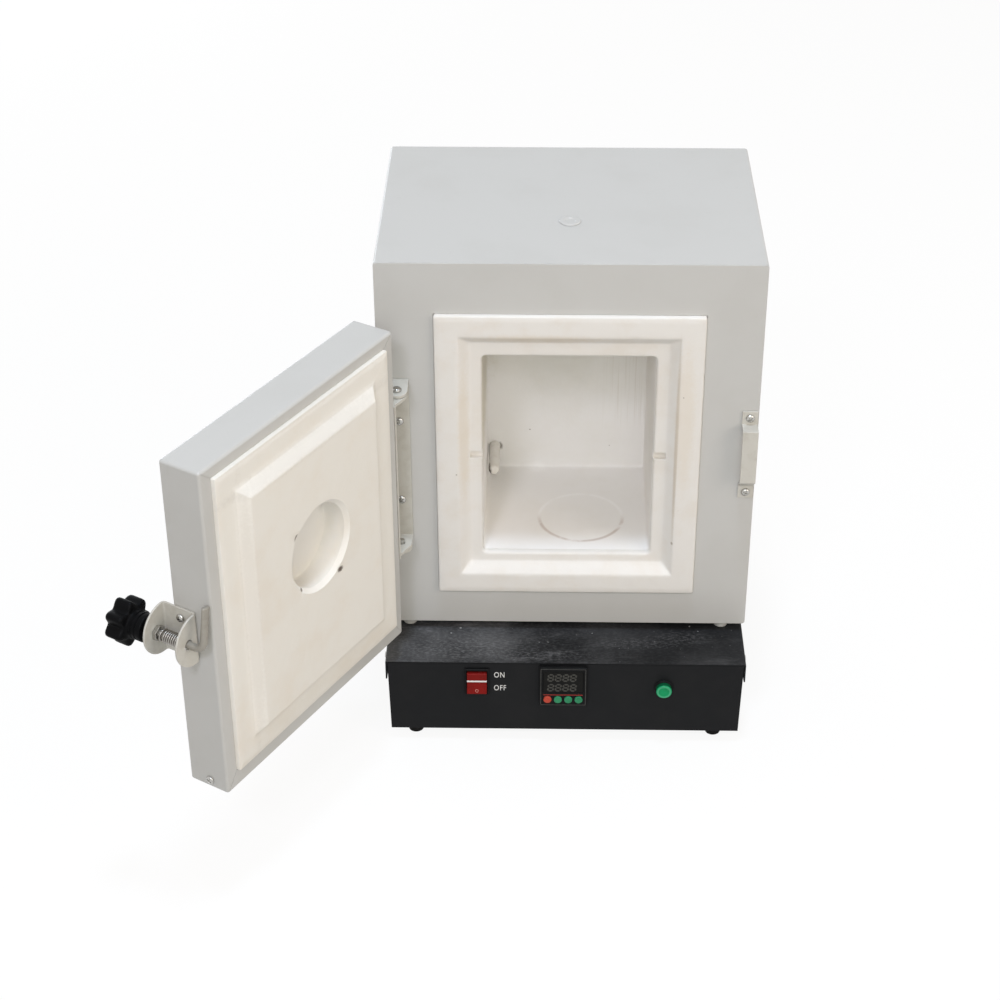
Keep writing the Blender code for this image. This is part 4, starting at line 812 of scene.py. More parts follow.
def makeChamber():
    for name in ("chamber_left_wall", "chamber_right_wall", "chamber_roof", "chamber_floor",
        "chamber_back_wall"):
        low, high = boxIn(furnacePlace, name)
        shape = softBlock(low, high, chamber["edge"], chamber["cell"])
        roughen(shape, chamber["uneven"], 22.0, len(name) * 1.3)
        mesh = meshOf(shape)
        if name == "chamber_back_wall":
            mesh = sensorHole(mesh)
        pieceName = "".join(word.capitalize() for word in name.split("_"))
        addPiece("fibre" + pieceName, mesh, furnacePlace, "cabinet", wallFibre, [name],
            sharp=55)


def makeLining():
    low = Vector((boxIn(furnacePlace, "chamber_left_wall")[1].x, 0,
        boxIn(furnacePlace, "chamber_floor")[1].z))
    high = Vector((boxIn(furnacePlace, "chamber_right_wall")[0].x, 0,
        boxIn(furnacePlace, "chamber_roof")[0].z))
    start, end = fibreFrame["liningStart"] + 0.2, boxIn(furnacePlace, "chamber_back_wall")[0].y
    skin, fillet, corner = fibreFrame["lining"], chamber["fillet"], chamber["corner"]
    loops = []

    def ring(inset, y):
        a, b = (low.x + inset, low.z + inset), (high.x - inset, high.z - inset)
        radius = max(corner - skin, min(corner, inset))
        loops.append([(u, y, v) for u, v in rectLoop(a, b, radius, chamber["perSide"], 4)])

    inside = end - skin
    for inset in (74, 58, 44, 32, 22, 14, 8):
        ring(inset, inside)
    for i in range(5):
        a = math.radians(22.5 * i)
        ring(skin + fillet * (1 - math.sin(a)), inside - fillet * (1 - math.cos(a)))
    count = 34
    for i in range(1, count + 1):
        ring(skin, inside - fillet + (start - inside + fillet) * i / count)
    ring(0.02, start)
    ring(0.02, end - 0.02)
    ring(40, end - 0.02)
    ring(74, end - 0.02)
    shape = loft(loops)
    shape.verts.ensure_lookup_table()
    inner = [vert for vert in shape.verts if vert.co.y > start + 2 and vert.co.y < end - 0.2]
    for vert in inner:  # uneven as pressed fibre
        spot = vert.co / 17
        vert.co += vert.normal * (0.12 * noise.noise(spot) + 0.04 * noise.noise(spot * 5))
    addPiece("chamberLining", sensorHole(meshOf(shape)), furnacePlace, "cabinet",
        liningFibre, sharp=55)


makeChamber()
makeLining()
print("chamber made")

# door
door = {
    "bend": 3.0, "sheet": 1.5, "rim": (14.0, 12.0, 18.5), "padProud": 4.0, "plugHeight": 9.0, "edge": 1.3,
    "recess": (40.5, 26.0, 4.0), "recessRise": 17.8, "uneven": 0.14, "perSide": 56,
}


def doorFace():  # corners of the pad and of the raised part, and the recess' middle
    low, high = boxIn(doorPlace, "door_tray")
    side, top, bottom = door["rim"]
    padLow, padHigh = (low.x + side, low.z + bottom), (high.x - side, high.z - top)
    middle = ((padLow[0] + padHigh[0]) / 2, (padLow[1] + padHigh[1]) / 2)
    return low, high, padLow, padHigh, (middle[0], middle[1] + door["recessRise"])


def makeTray():
    low, high, padLow, padHigh, middle = doorFace()
    bend, sheet = door["bend"], door["sheet"]
    loops = []

    def ring(inset, y, radius):
        a, b = (low.x + inset, low.z + inset), (high.x - inset, high.z - inset)
        loops.append([(u, y, v) for u, v in rectLoop(a, b, radius, 0, 6)])

    def bendRings(start, end, facingLip, inner):
        size = bend - inner
        for i in range(start, end, 1 if end > start else -1):
            a = math.radians(90 * i / 6)
            drop = inner + size * (1 - math.cos(a))
            y = high.y - drop if facingLip else low.y + drop
            ring(inner + size * (1 - math.sin(a)), y, max(0.4, bend - inner - size * (1 - math.sin(a))))

    bendRings(0, 7, False, 0)
    bendRings(6, -1, True, 0)
    for y in (high.y, high.y - sheet):
        loops.append([(u, y, v) for u, v in rectLoop(padLow, padHigh, 0.4, 0, 6)])
    bendRings(0, 7, True, sheet)
    bendRings(6, -1, False, sheet)
    tray = meshOf(loft(loops))
    seams = []
    for u, v, cornerU, cornerV in (
        (padLow[0], padLow[1], low.x, low.z), (padHigh[0], padLow[1], high.x, low.z),
        (padLow[0], padHigh[1], low.x, high.z), (padHigh[0], padHigh[1], high.x, high.z),
    ):
        start, end = Vector((u, v)), Vector((cornerU, cornerV))
        way = (end - start).normalized()
        across = Vector((-way.y, way.x)) * 0.28
        start, end = start - way * 2, end - way * 1.2
        outline = [start + across, end + across, end - across, start - across]
        seams.append(prism([tuple(p) for p in outline], high.y - 0.7, high.y + 2, "y"))
    tray = carved(tray, seams)
    addPiece("doorTray", tray, doorPlace, "door", doorPaint, ["door_tray"], 0.25)


def makePad():
    low, high, padLow, padHigh, middle = doorFace()
    innerLow, innerHigh = boxIn(doorPlace, "door_plug")
    padFace, mouth = high.y + door["padProud"], innerHigh.y
    edge, tall, perSide = door["edge"], door["plugHeight"], door["perSide"]
    clear = fibreFrame["band"] - 1.2 + 3.0  # pad's edge to the raised part's foot
    half = 1 - math.sqrt(0.5)
    loops = []

    def ring(inset, y, radius=1.2):
        a, b = (padLow[0] + inset, padLow[1] + inset), (padHigh[0] - inset, padHigh[1] - inset)
        loops.append([(u, y, v) for u, v in rectLoop(a, b, radius, perSide, 4)])

    def bodyRing(y):
        loops.append([(u, y, v) for u, v in rectLoop((innerLow.x, innerLow.z),
            (innerHigh.x, innerHigh.z), 1.2, perSide, 4)])

    bodyRing(innerLow.y)
    bodyRing(high.y - door["sheet"] - 0.3)
    ring(0.3, high.y - door["sheet"] - 0.3)
    ring(0.3, padFace - edge)
    ring(0.3 + edge * half, padFace - edge * half)
    ring(0.3 + edge, padFace)
    for share in (0.3, 0.55, 0.8):
        ring(0.3 + edge + (clear - edge - 1.2) * share, padFace)
    ring(clear - 0.5, padFace + 0.1)
    ring(clear + 0.5, padFace + 0.7)
    ring(clear + tall * 0.35, padFace + tall * 0.35)
    ring(clear + tall * 0.65, padFace + tall * 0.65)
    ring(clear + tall - 0.6, mouth - 0.7)
    ring(clear + tall + 0.5, mouth - 0.05)
    ring(clear + tall + 2, mouth)
    radius, deep, chamfer = door["recess"]
    outer = [Vector((p[0], p[2])) for p in loops[-1]]
    centre = Vector(middle)
    circle = [(p - centre).normalized() for p in outer]

    def roundLoop(size, y):
        loops.append([(centre.x + c.x * size, y, centre.y + c.y * size) for c in circle])

    lip = radius + chamfer
    for share in (0.12, 0.25, 0.4, 0.55, 0.7, 0.82, 0.92):
        spots = [p.lerp(centre + c * (lip + 1), share) for p, c in zip(outer, circle)]
        loops.append([(p.x, mouth, p.y) for p in spots])
    for size, y in (
        (lip + 1, mouth), (lip, mouth), (lip - 1.2, mouth - 1.2), (radius + 1.2, mouth - chamfer + 1.2),
        (radius, mouth - chamfer), (radius, mouth - chamfer - 0.8), (radius, mouth - 9),
        (radius, mouth - 15),
        (radius, mouth - 21), (radius, mouth - deep + 1.5), (radius - 0.5, mouth - deep + 0.5),
        (radius - 1.5, mouth - deep), (radius * 0.8, mouth - deep), (radius * 0.6, mouth - deep),
        (radius * 0.4, mouth - deep), (radius * 0.12, mouth - deep),
    ):
        roundLoop(size, y)
    shape = loft(loops)
    roughen(shape, door["uneven"], 11.0, 6.4)
    roughen(shape, 0.06, 2.6, 1.9)
    for spot, size, tone, amount in padStainsAndShade[4:]:
        chip(shape, (spot[0], mouth, spot[2]), 2.2 * max(size[0], size[2]), 1.3)
    addPiece("doorPad", meshOf(shape), doorPlace, "door", padFibre, ["door_plug"], sharp=32)


makeTray()
makePad()
print("door made")

# bent and plain hardware, from its solids with fine edges
hardware = [
    ("hingeBodyBracket", "hinge_body_bracket", "cabinet", "bracket_paint", bracketPaint, 0.5),
    ("keeperStrap", "keeper_strap", "cabinet", "bracket_paint", bracketPaint, 0.5),
    ("hingeDoorBracket", "hinge_door_bracket", "door", "bracket_paint", doorBracketPaint, 0.5),
    ("hingePinUpper", "hinge_pin_upper", "cabinet", "bright_steel", steel, 0.3),
    ("hingePinLower", "hinge_pin_lower", "cabinet", "bright_steel", steel, 0.3),
    ("latchNut", "latch_nut", "latch_slider", "bright_steel", doorSteel, 0.5),
    ("rockerHousing", "rocker_housing", "cabinet", "black_plastic", blackPlastic, 0.3),
    ("controllerCase", "controller_case", "cabinet", "black_plastic", blackPlastic, 0.25),
    ("controllerWindow", "controller_window", "cabinet", "display_window", windowGlass, 0.2),
    ("mainsInlet", "mains_inlet", "cabinet", "black_plastic", blackPlastic, 0.4),
    ("relayHeatsink", "relay_heatsink", "cabinet", "aluminium", aluminium, 0.2),
    ("solidStateRelay", "solid_state_relay", "cabinet", "relay_plastic", relayPlastic, 0.4),
    ("terminalBlock", "terminal_block", "cabinet", "relay_plastic", relayPlastic, 0.6),
]
for pieceName, node, body, slot, finish, edge in hardware:
    addPiece(pieceName, nodeCopy(node), None, body, finish, [node], edge, sharp=40)
for node in ("heater_left", "heater_right"):
    nodes[node].data.materials[0] = hotWire
print("hardware made")

# latch: a sheet bent to a U with round ears, and a rod bent to a hook
latch = {"sheet": 2.0, "bend": 4.5, "hole": 4.6, "rod": 3.5, "hookBend": 9.0, "wide": 4.6, "flat": 2.4}


def makeLatchBracket():
    low, high = boxIn(doorPlace, "latch_bracket")
    sheet, bend = latch["sheet"], latch["bend"]
    outline = [
        (low.x, low.y, bend), (high.x + 1, low.y, 0), (high.x + 1, low.y + sheet, 0),
        (low.x + sheet, low.y + sheet, bend - sheet),
        (low.x + sheet, high.y - sheet, bend - sheet), (high.x + 1, high.y - sheet, 0),
        (high.x + 1, high.y, 0), (low.x, high.y, bend),
    ]
    mesh = prism(rounded(outline, 0, 8), low.z, high.z, "z")
    middle, half = (low.z + high.z) / 2, (high.z - low.z) / 2
    ears = arc((high.x - half, middle), half - 0.02, -90, 90, 40)
    ears += [(low.x - 2, middle + half - 0.02), (low.x - 2, middle - half + 0.02)]
    mesh = carved(mesh, [prism(ears, low.y - 3, high.y + 3, "y")], "INTERSECT")
    hole = turned([(latch["hole"], -60), (latch["hole"], 60)], 40)
    along = Matrix.Translation((rodSpot.x / mm, 0, rodSpot.z / mm)) @ facing((0, 1, 0))
    bmesh.ops.transform(hole, matrix=along, verts=hole.verts)
    mesh = carved(mesh, [meshOf(hole)])
    addPiece("latchBracket", mesh, doorPlace, "door", doorBracketPaint,
        ["latch_bracket"], 0.45, sharp=40)


def makeHook():
    low, high = boxIn(boltPlace, "latch_hook")
    rod, bend = latch["rod"], latch["hookBend"]
    upright, top = high.y - rod, high.z
    stations = [(low.y + (upright - bend - low.y) * i / 8, 0.0, 0.0, 0.0) for i in range(9)]
    for i in range(1, 9):
        a = math.radians(90 * i / 8)
        stations.append((upright - bend + bend * math.sin(a), bend - bend * math.cos(a), a, 0.0))
    for i in range(1, 13):
        share = i / 12
        stations.append((upright, bend + (top - 1.4 - bend) * share, math.pi / 2,
            share * share * (3 - 2 * share)))
    loops = []

    def section(y, z, a, flat, scale=1.0):
        wide = (rod + (latch["wide"] - rod) * flat) * scale
        thick = (rod + (latch["flat"] - rod) * flat) * scale
        turns = [2 * math.pi * i / 24 for i in range(24)]
        loops.append([(wide * math.cos(t), y - math.sin(a) * thick * math.sin(t),
            z + math.cos(a) * thick * math.sin(t)) for t in turns])

    for station in stations:
        section(*station)
    for rise, scale in ((0.7, 0.96), (1.15, 0.86), (1.4, 0.7)):
        section(upright, top - 1.4 + rise, math.pi / 2, 1.0, scale)
    addPiece("latchHook", meshOf(loft(loops)), boltPlace, "latch_bolt", hookSteel,
        ["latch_hook"], sharp=50)


makeLatchBracket()
makeHook()
print("latch made")


# Geometry Nodes: one tree for each thing that repeats or follows a rule
def newTree(name, inputs):
    tree = bpy.data.node_groups.new(name, "GeometryNodeTree")
    tree.interface.new_socket("Points", in_out="INPUT", socket_type="NodeSocketGeometry")
    for label, kind, value in inputs:
        made = tree.interface.new_socket(label, in_out="INPUT", socket_type="NodeSocket" + kind)
        if value is not None:
            made.default_value = value
    tree.interface.new_socket("Mesh", in_out="OUTPUT", socket_type="NodeSocketGeometry")
    start = tree.nodes.new("NodeGroupInput")
    return tree, {entry.name: Wire(tree, entry) for entry in start.outputs if entry.name}


def endTree(geometry, finish):
    whole = geometry.node("GeometryNodeRealizeInstances", None, {0: geometry})
    dressed = whole.node("GeometryNodeSetMaterial", None, {"Geometry": whole, "Material": finish})
    end = dressed.tree.nodes.new("NodeGroupOutput")
    dressed.tree.links.new(dressed.socket, end.inputs[0])


def grown(tree, points, values, ways=()):  # runs a tree on points and gives a plain mesh
    mesh = bpy.data.meshes.new("points")
    mesh.from_pydata([tuple(point) for point in points], [], [])
    if ways:
        layer = mesh.attributes.new("facing", "FLOAT_VECTOR", "POINT")
        layer.data.foreach_set("vector", [c for way in ways for c in way])
    carrier = bpy.data.objects.new("carrier", mesh)
    modifier = carrier.modifiers.new("grow", "NODES")
    modifier.node_group = tree
    for entry in tree.interface.items_tree:
        if entry.item_type == "SOCKET" and entry.in_out == "INPUT" and entry.name in values:
            modifier[entry.identifier] = values[entry.name]
    scene.collection.objects.link(carrier)
    result = plainMesh(carrier)
    carrier.modifiers.clear()
    bpy.data.objects.remove(carrier)
    outward(result)
    return result


def lathe(wire, profile, radius, height, sides):  # a profile of (share of radius, share of height)
    count = len(profile)
    sizes = {"Size X": 1.0, "Size Y": 1.0, "Vertices X": sides, "Vertices Y": count}
    grid = wire.node("GeometryNodeMeshGrid", None, sizes)
    spot = wire.node("GeometryNodeInputPosition")
    turn = (part(spot, 0) + 0.5) * (2 * math.pi)
    along = part(spot, 1) + 0.5
    stops = [[(i / (count - 1), point[k]) for i, point in enumerate(profile)] for k in (0, 1)]
    reach = along.node("ShaderNodeFloatCurve", {"stops": stops[0]}, {"Value": along}) * radius
    rise = along.node("ShaderNodeFloatCurve", {"stops": stops[1]}, {"Value": along}) * height
    cosine, sine = turn.maths("COSINE", turn), turn.maths("SINE", turn)
    place = wire.node("ShaderNodeCombineXYZ", None, {0: reach * cosine, 1: reach * sine, 2: rise})
    shaped = wire.node("GeometryNodeSetPosition", None, {"Geometry": grid, "Position": place})
    return wire.node("GeometryNodeMergeByDistance", None, {"Geometry": shaped, "Distance": 0.000004})


# set on each point, facing its way, turned at random
def onPoints(points, instance, seed, spin=2 * math.pi):
    way = points.node("GeometryNodeInputNamedAttribute", {"data_type": "FLOAT_VECTOR"}, {"Name": "facing"})
    turn = points.node("FunctionNodeAlignRotationToVector", {"axis": "Z"}, {"Vector": way})
    chance = points.node("FunctionNodeRandomValue", {"data_type": "FLOAT"}, {2: 0.0, 3: spin, 8: seed}, 1)
    roll = points.node("FunctionNodeAxisAngleToRotation", None, {"Axis": (0, 0, 1), "Angle": chance})
    settings = {"rotation_space": "LOCAL"}
    turn = points.node("FunctionNodeRotateRotation", settings, {"Rotation": turn, "Rotate By": roll})
    sockets = {"Points": points, "Instance": instance, "Rotation": turn}
    return points.node("GeometryNodeInstanceOnPoints", None, sockets)


screw = {"radius": 0.0042, "height": 0.0024, "slot": 0.0009, "slotDepth": 0.0013, "seed": 4}


def screwTree():
    inputs = [("Radius", "Float", 0.004), ("Height", "Float", 0.002), ("Slot", "Float", 0.001)]
    inputs += [("Slot depth", "Float", 0.001), ("Seed", "Int", 0), ("Finish", "Material", None)]
    tree, given = newTree("panHeadScrews", inputs)
    points = given["Points"]
    profile = [
        (0.0, 0.0), (0.9, 0.0), (0.985, 0.06), (1.0, 0.2), (0.97, 0.42), (0.88, 0.64), (0.74, 0.81),
        (0.55, 0.92),
        (0.3, 0.98), (0.0, 1.0),
    ]
    head = lathe(points, [(r, h) for r, h in profile], given["Radius"], given["Height"], 33)
    cutters = []
    for long, wide in ((1.25, None), (None, 1.25)):
        span = given["Radius"] * 1.25
        sides = {0: span if long else given["Slot"], 1: span if wide else given["Slot"],
            2: given["Slot depth"] * 2}
        size = points.node("ShaderNodeCombineXYZ", None, sides)
        cube = points.node("GeometryNodeMeshCube", None, {"Size": size})
        lift = points.node("ShaderNodeCombineXYZ", None, {2: given["Height"]})
        cutters.append(points.node("GeometryNodeTransform", None, {"Geometry": cube, "Translation": lift}))
    settings = {"operation": "DIFFERENCE", "solver": "EXACT"}
    cross = points.node("GeometryNodeMeshBoolean", settings, {0: head, 1: cutters})
    endTree(onPoints(points, cross, given["Seed"]), given["Finish"])
    return tree


def screwSeat(node, place, way):  # where a screw node's head sits, and its way, in that frame
    low, high = boxIn(place, node)
    seat = (low + high) / 2
    for i in range(3):
        if way[i]:
            seat[i] = (high[i] if way[i] > 0 else low[i]) - way[i] * (screw["height"] / mm)
    return seat


panHead = screwTree()


def addScrews(name, place, body, finish, standing, extra):
    seats = [(screwSeat(node, place, way), way) for node, way in standing] + extra
    spots = [place @ (Vector(seat) * mm) for seat, way in seats]
    ways = [(place.to_3x3() @ Vector(way)).normalized() for seat, way in seats]
    values = {"Radius": screw["radius"], "Height": screw["height"], "Slot": screw["slot"]}
    values |= {"Slot depth": screw["slotDepth"], "Seed": screw["seed"], "Finish": finish}
    mesh = grown(panHead, spots, values, ways)
    addPiece(name, mesh, None, body, finish, [node for node, way in standing], sharp=40)


front, back, left, right = (0, -1, 0), (0, 1, 0), (-1, 0, 0), (1, 0, 0)
backLow, backHigh = boxIn(furnacePlace, "back_panel")
inletLow, inletHigh = boxIn(furnacePlace, "mains_inlet")
trayLow = boxIn(furnacePlace, "base_tray")[0]
backSides = (backLow.x + 9, backHigh.x - 9)
backScrews = [((x, backHigh.y, z), back) for x in backSides for z in (125, 250, 375, 497)]
backScrews += [((x, backHigh.y, z), back) for x in (-60, 60) for z in (backLow.z + 9, backHigh.z - 9)]
inletMiddle = (inletLow.z + inletHigh.z) / 2
backScrews += [((x, inletHigh.y, inletMiddle), back) for x in (inletLow.x + 6, inletHigh.x - 6)]
coverLow, coverHigh = boxIn(furnacePlace, "base_cover")
coverScrews = [((coverLow.x, y, coverLow.z + 9), left) for y in (-30, 102, 235)]
coverScrews += [((coverHigh.x, y, coverLow.z + 9), right) for y in (-30, 102, 235)]
cabinetScrews = [("hinge_body_screw_upper", front), ("hinge_body_screw_lower", front)]
cabinetScrews += [("keeper_screw_upper", front), ("keeper_screw_lower", front)]
addScrews("cabinetScrews", furnacePlace, "cabinet", steel, cabinetScrews, backScrews + coverScrews)
doorScrews = [("hinge_door_screw_upper", left), ("hinge_door_screw_lower", left),
    ("door_edge_screw", right)]
doorScrews += [("latch_screw_upper", right), ("latch_screw_lower", right)]
addScrews("doorScrews", doorPlace, "door", doorSteel, doorScrews, [])
print("screws set")


# feet and standoffs
def stubTree(name, profile):
    inputs = [("Radius", "Float", 0.008), ("Height", "Float", 0.008), ("Seed", "Int", 0),
        ("Finish", "Material", None)]
    tree, given = newTree(name, inputs)
    stub = lathe(given["Points"], profile, given["Radius"], given["Height"], 49)
    endTree(onPoints(given["Points"], stub, given["Seed"]), given["Finish"])
    return tree


footProfile = [
    (0.0, 0.12), (0.34, 0.12), (0.36, 0.0), (0.8, 0.0), (0.845, 0.02), (0.86, 0.07), (0.9, 0.35),
    (0.95, 0.75), (0.985, 0.93),
    (0.96, 0.98), (0.9, 1.0), (0.0, 1.0),
]
standProfile = [
    (0.0, 0.0), (0.9, 0.0), (0.975, 0.03), (1.0, 0.1), (1.0, 0.3), (0.96, 0.42), (0.94, 0.5),
    (0.96, 0.58), (1.0, 0.7), (1.0, 0.9),
    (0.975, 0.97), (0.9, 1.0), (0.0, 1.0),
]


def addStubs(name, nodeStart, profile, finish):
    names = [f"{nodeStart}_{row}_{side}" for row in ("front", "rear") for side in ("left", "right")]
    spots = []
    for node in names:
        low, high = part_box(node)
        spots.append(((low.x + high.x) / 2, (low.y + high.y) / 2, low.z))
    values = {"Radius": (high.x - low.x) / 2, "Height": high.z - low.z, "Seed": 1, "Finish": finish}
    mesh = grown(stubTree(name, profile), spots, values, [(0, 0, 1)] * len(spots))
    addPiece(name, mesh, None, "cabinet", finish, names, sharp=40)


addStubs("rubberFeet", "base_foot", footProfile, blackRubber)
addStubs("standoffs", "standoff", standProfile, greyRubber)
print("feet and standoffs set")

# latch spring: turns close up at both ends
spring = {"wire": 0.0009, "radius": 0.0052, "turns": 10.0, "closed": 0.08, "push": 0.006}


def makeSpring():
    inputs = [("Wire", "Float", 0.001), ("Radius", "Float", 0.005), ("Turns", "Float", 8.0),
        ("Length", "Float", 0.02)]
    tree, given = newTree("coilSpring", inputs + [("Closed", "Float", 0.1), ("Finish", "Material", None)])
    start = given["Points"]
    sizes = {"Resolution": 40, "Rotations": given["Turns"], "Start Radius": given["Radius"]}
    sizes |= {"End Radius": given["Radius"], "Height": given["Length"]}
    coil = start.node("GeometryNodeCurveSpiral", None, sizes)
    spot = start.node("GeometryNodeInputPosition")
    share = start.node("GeometryNodeSplineParameter", None, None, "Factor")
    low, high = step(share, 0.0, given["Closed"] * 2), step(share, 1 - given["Closed"] * 2, 1.0)
    room = given["Length"] - given["Wire"] * 2
    pulled = (share * 0.82 + low * 0.09 + high * 0.09) * room + given["Wire"]
    place = start.node("ShaderNodeCombineXYZ", None, {0: part(spot, 0), 1: part(spot, 1), 2: pulled})
    coil = start.node("GeometryNodeSetPosition", None, {"Geometry": coil, "Position": place})
    wireRound = start.node("GeometryNodeCurvePrimitiveCircle", None,
        {"Resolution": 10, "Radius": given["Wire"]})
    tube = start.node("GeometryNodeCurveToMesh", None,
        {"Curve": coil, "Profile Curve": wireRound, "Fill Caps": True})
    tube = start.node("GeometryNodeMergeByDistance", None, {"Geometry": tube, "Distance": 0.000004})
    endTree(tube, given["Finish"])
    low, high = boxIn(slidePlace, "latch_spring")
    values = {"Wire": spring["wire"], "Radius": spring["radius"], "Turns": spring["turns"],
        "Closed": spring["closed"]}
    values |= {"Length": (high.y - low.y) * mm, "Finish": springSteel}
    mesh = grown(tree, [(0, 0, 0)], values)
    mesh.transform(slidePlace @ Matrix.Translation((0, low.y * mm, 0)) @ facing((0, 1, 0)))
    piece = addPiece("latchSpring", mesh, None, "latch_slider", springSteel,
        ["latch_spring"], sharp=60)
    way, length = slidePlace.to_3x3() @ Vector((0, 1, 0)), (high.y - low.y) * mm
    1 - spring["push"] / length
    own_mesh(piece)


makeSpring()

# star knob
knob = {"radius": 0.0220, "scallop": 0.25, "lobes": 7}


def makeKnob():
    inputs = [("Radius", "Float", 0.02), ("Scallop", "Float", 0.2), ("Lobes", "Float", 7.0),
        ("Length", "Float", 0.03)]
    tree, given = newTree("starKnob", inputs + [("Finish", "Material", None)])
    start = given["Points"]
    profile = [  # share of the radius, share of the length from the grip's face, share of the lobes
        (0.0, 0.04, 0), (0.3, 0.04, 0), (0.5, 0.03, 0.1), (0.72, 0.009, 0.5), (0.86, 0.0, 0.85),
        (0.945, 0.018, 1), (0.985, 0.053, 1),
        (1.0, 0.114, 1), (1.0, 0.264, 1), (1.0, 0.42, 1), (0.985, 0.488, 1), (0.945, 0.523, 1),
        (0.86, 0.542, 0.85), (0.72, 0.55, 0.4),
        (0.645, 0.556, 0.05), (0.6, 0.58, 0), (0.59, 0.6, 0), (0.59, 0.66, 0), (0.555, 0.675, 0),
        (0.555, 0.705, 0), (0.59, 0.72, 0),
        (0.59, 0.79, 0), (0.555, 0.805, 0), (0.555, 0.835, 0), (0.59, 0.85, 0), (0.59, 0.95, 0),
        (0.575, 0.985, 0), (0.54, 1.0, 0),
        (0.24, 1.0, 0), (0.2, 0.985, 0), (0.0, 0.985, 0),
    ]
    count = len(profile)
    grid = start.node("GeometryNodeMeshGrid", None,
        {"Size X": 1.0, "Size Y": 1.0, "Vertices X": 169, "Vertices Y": count})
    spot = start.node("GeometryNodeInputPosition")
    turn, along = (part(spot, 0) + 0.5) * (2 * math.pi), part(spot, 1) + 0.5
    curves = []
    for k in range(3):
        stops = [(i / (count - 1), point[k]) for i, point in enumerate(profile)]
        curves.append(along.node("ShaderNodeFloatCurve", {"stops": stops}, {"Value": along}))
    wave = turn.maths("COSINE", turn * given["Lobes"])
    dip = (1 - wave) * 0.5 * given["Scallop"] * curves[2]
    reach = curves[0] * given["Radius"] * (1 - dip)
    sockets = {0: reach * turn.maths("COSINE", turn), 1: reach * turn.maths("SINE", turn),
        2: curves[1] * given["Length"]}
    place = start.node("ShaderNodeCombineXYZ", None, sockets)
    shaped = start.node("GeometryNodeSetPosition", None, {"Geometry": grid, "Position": place})
    shaped = start.node("GeometryNodeMergeByDistance", None, {"Geometry": shaped, "Distance": 0.000004})
    endTree(shaped, given["Finish"])
    low, high = boxIn(boltPlace, "latch_knob")
    values = {"Radius": knob["radius"], "Scallop": knob["scallop"], "Lobes": knob["lobes"],
        "Length": (high.y - low.y) * mm}
    mesh = grown(tree, [(0, 0, 0)], values | {"Finish": knobPlastic})
    mesh.transform(boltPlace @ Matrix.Translation((0, low.y * mm, 0)) @ facing((0, 1, 0)))
    addPiece("latchKnob", mesh, None, "latch_bolt", knobPlastic, ["latch_knob"], sharp=50)


makeKnob()
print("spring and knob made")

# rocker switch: two faces that dip to the middle, with a white band across the middle as a painted
# highlight, and a ring
rocker = {"half": 11.85, "proud": 6.0, "valley": 2.0, "round": 0.7, "band": (2.4, 1.9)}


def makeRocker():
    low, high = boxIn(rockerPlace, "rocker")
    half, proud, dip = rocker["half"], rocker["proud"], rocker["valley"]
    hump = [(-proud, half, 1.0), (-proud + dip, 0, 4.0), (-proud, -half, 1.0)]
    rootTurns = [math.radians(a) for a in (160, 140, 40, 20)]
    root = [(half * math.sin(a), half * math.cos(a), 0) for a in rootTurns]
    outline = rounded(hump + [(0, -half, 0)] + root + [(0, half, 0)], 0, 6)
    mesh = prism(outline, low.x, high.x, "x")
    addPiece("rockerCap", mesh, rockerPlace, "rocker", redPlastic, ["rocker"],
        rocker["round"], 3, 30)
    # painted highlight: a white band across the rocker's middle
    at, tall = rocker["band"]
    surface = -proud + dip * (1 - at / half)
    band = softBlock((low.x + 0.05, surface - 0.25, at - tall / 2),
        (high.x - 0.05, surface + 1.2, at + tall / 2), 0.25, 3)
    addPiece("rockerHighlightBand", meshOf(band), rockerPlace, "rocker", whiteInkAndHighlight)
    loops = [[(math.cos(a) * r, y, math.sin(a) * r) for a in [2 * math.pi * i / 40 for i in range(40)]]
             for r, y in ((1.7, 0), (1.7, -0.12), (1.15, -0.12), (1.15, 0))]
    ring = loft(loops, ring=True)
    slope = math.atan2(dip, half)
    at = -half * 0.68
    turn = Matrix.Translation((0, -proud + dip + (at / half) * dip + 0.02,
        at)) @ Matrix.Rotation(-slope, 4, "X")
    mesh = meshOf(ring)
    mesh.transform(turn)
    addPiece("rockerRing", mesh, rockerPlace, "rocker", pinkInk)


makeRocker()

# controller: dim figures, a line and four buttons
display = {"pitch": 7.5, "size": (5.0, 7.9), "stroke": 1.8, "rows": (5.6, -6.8), "shift": -1.2,
    "thick": 0.00006, "lean": 0.12}


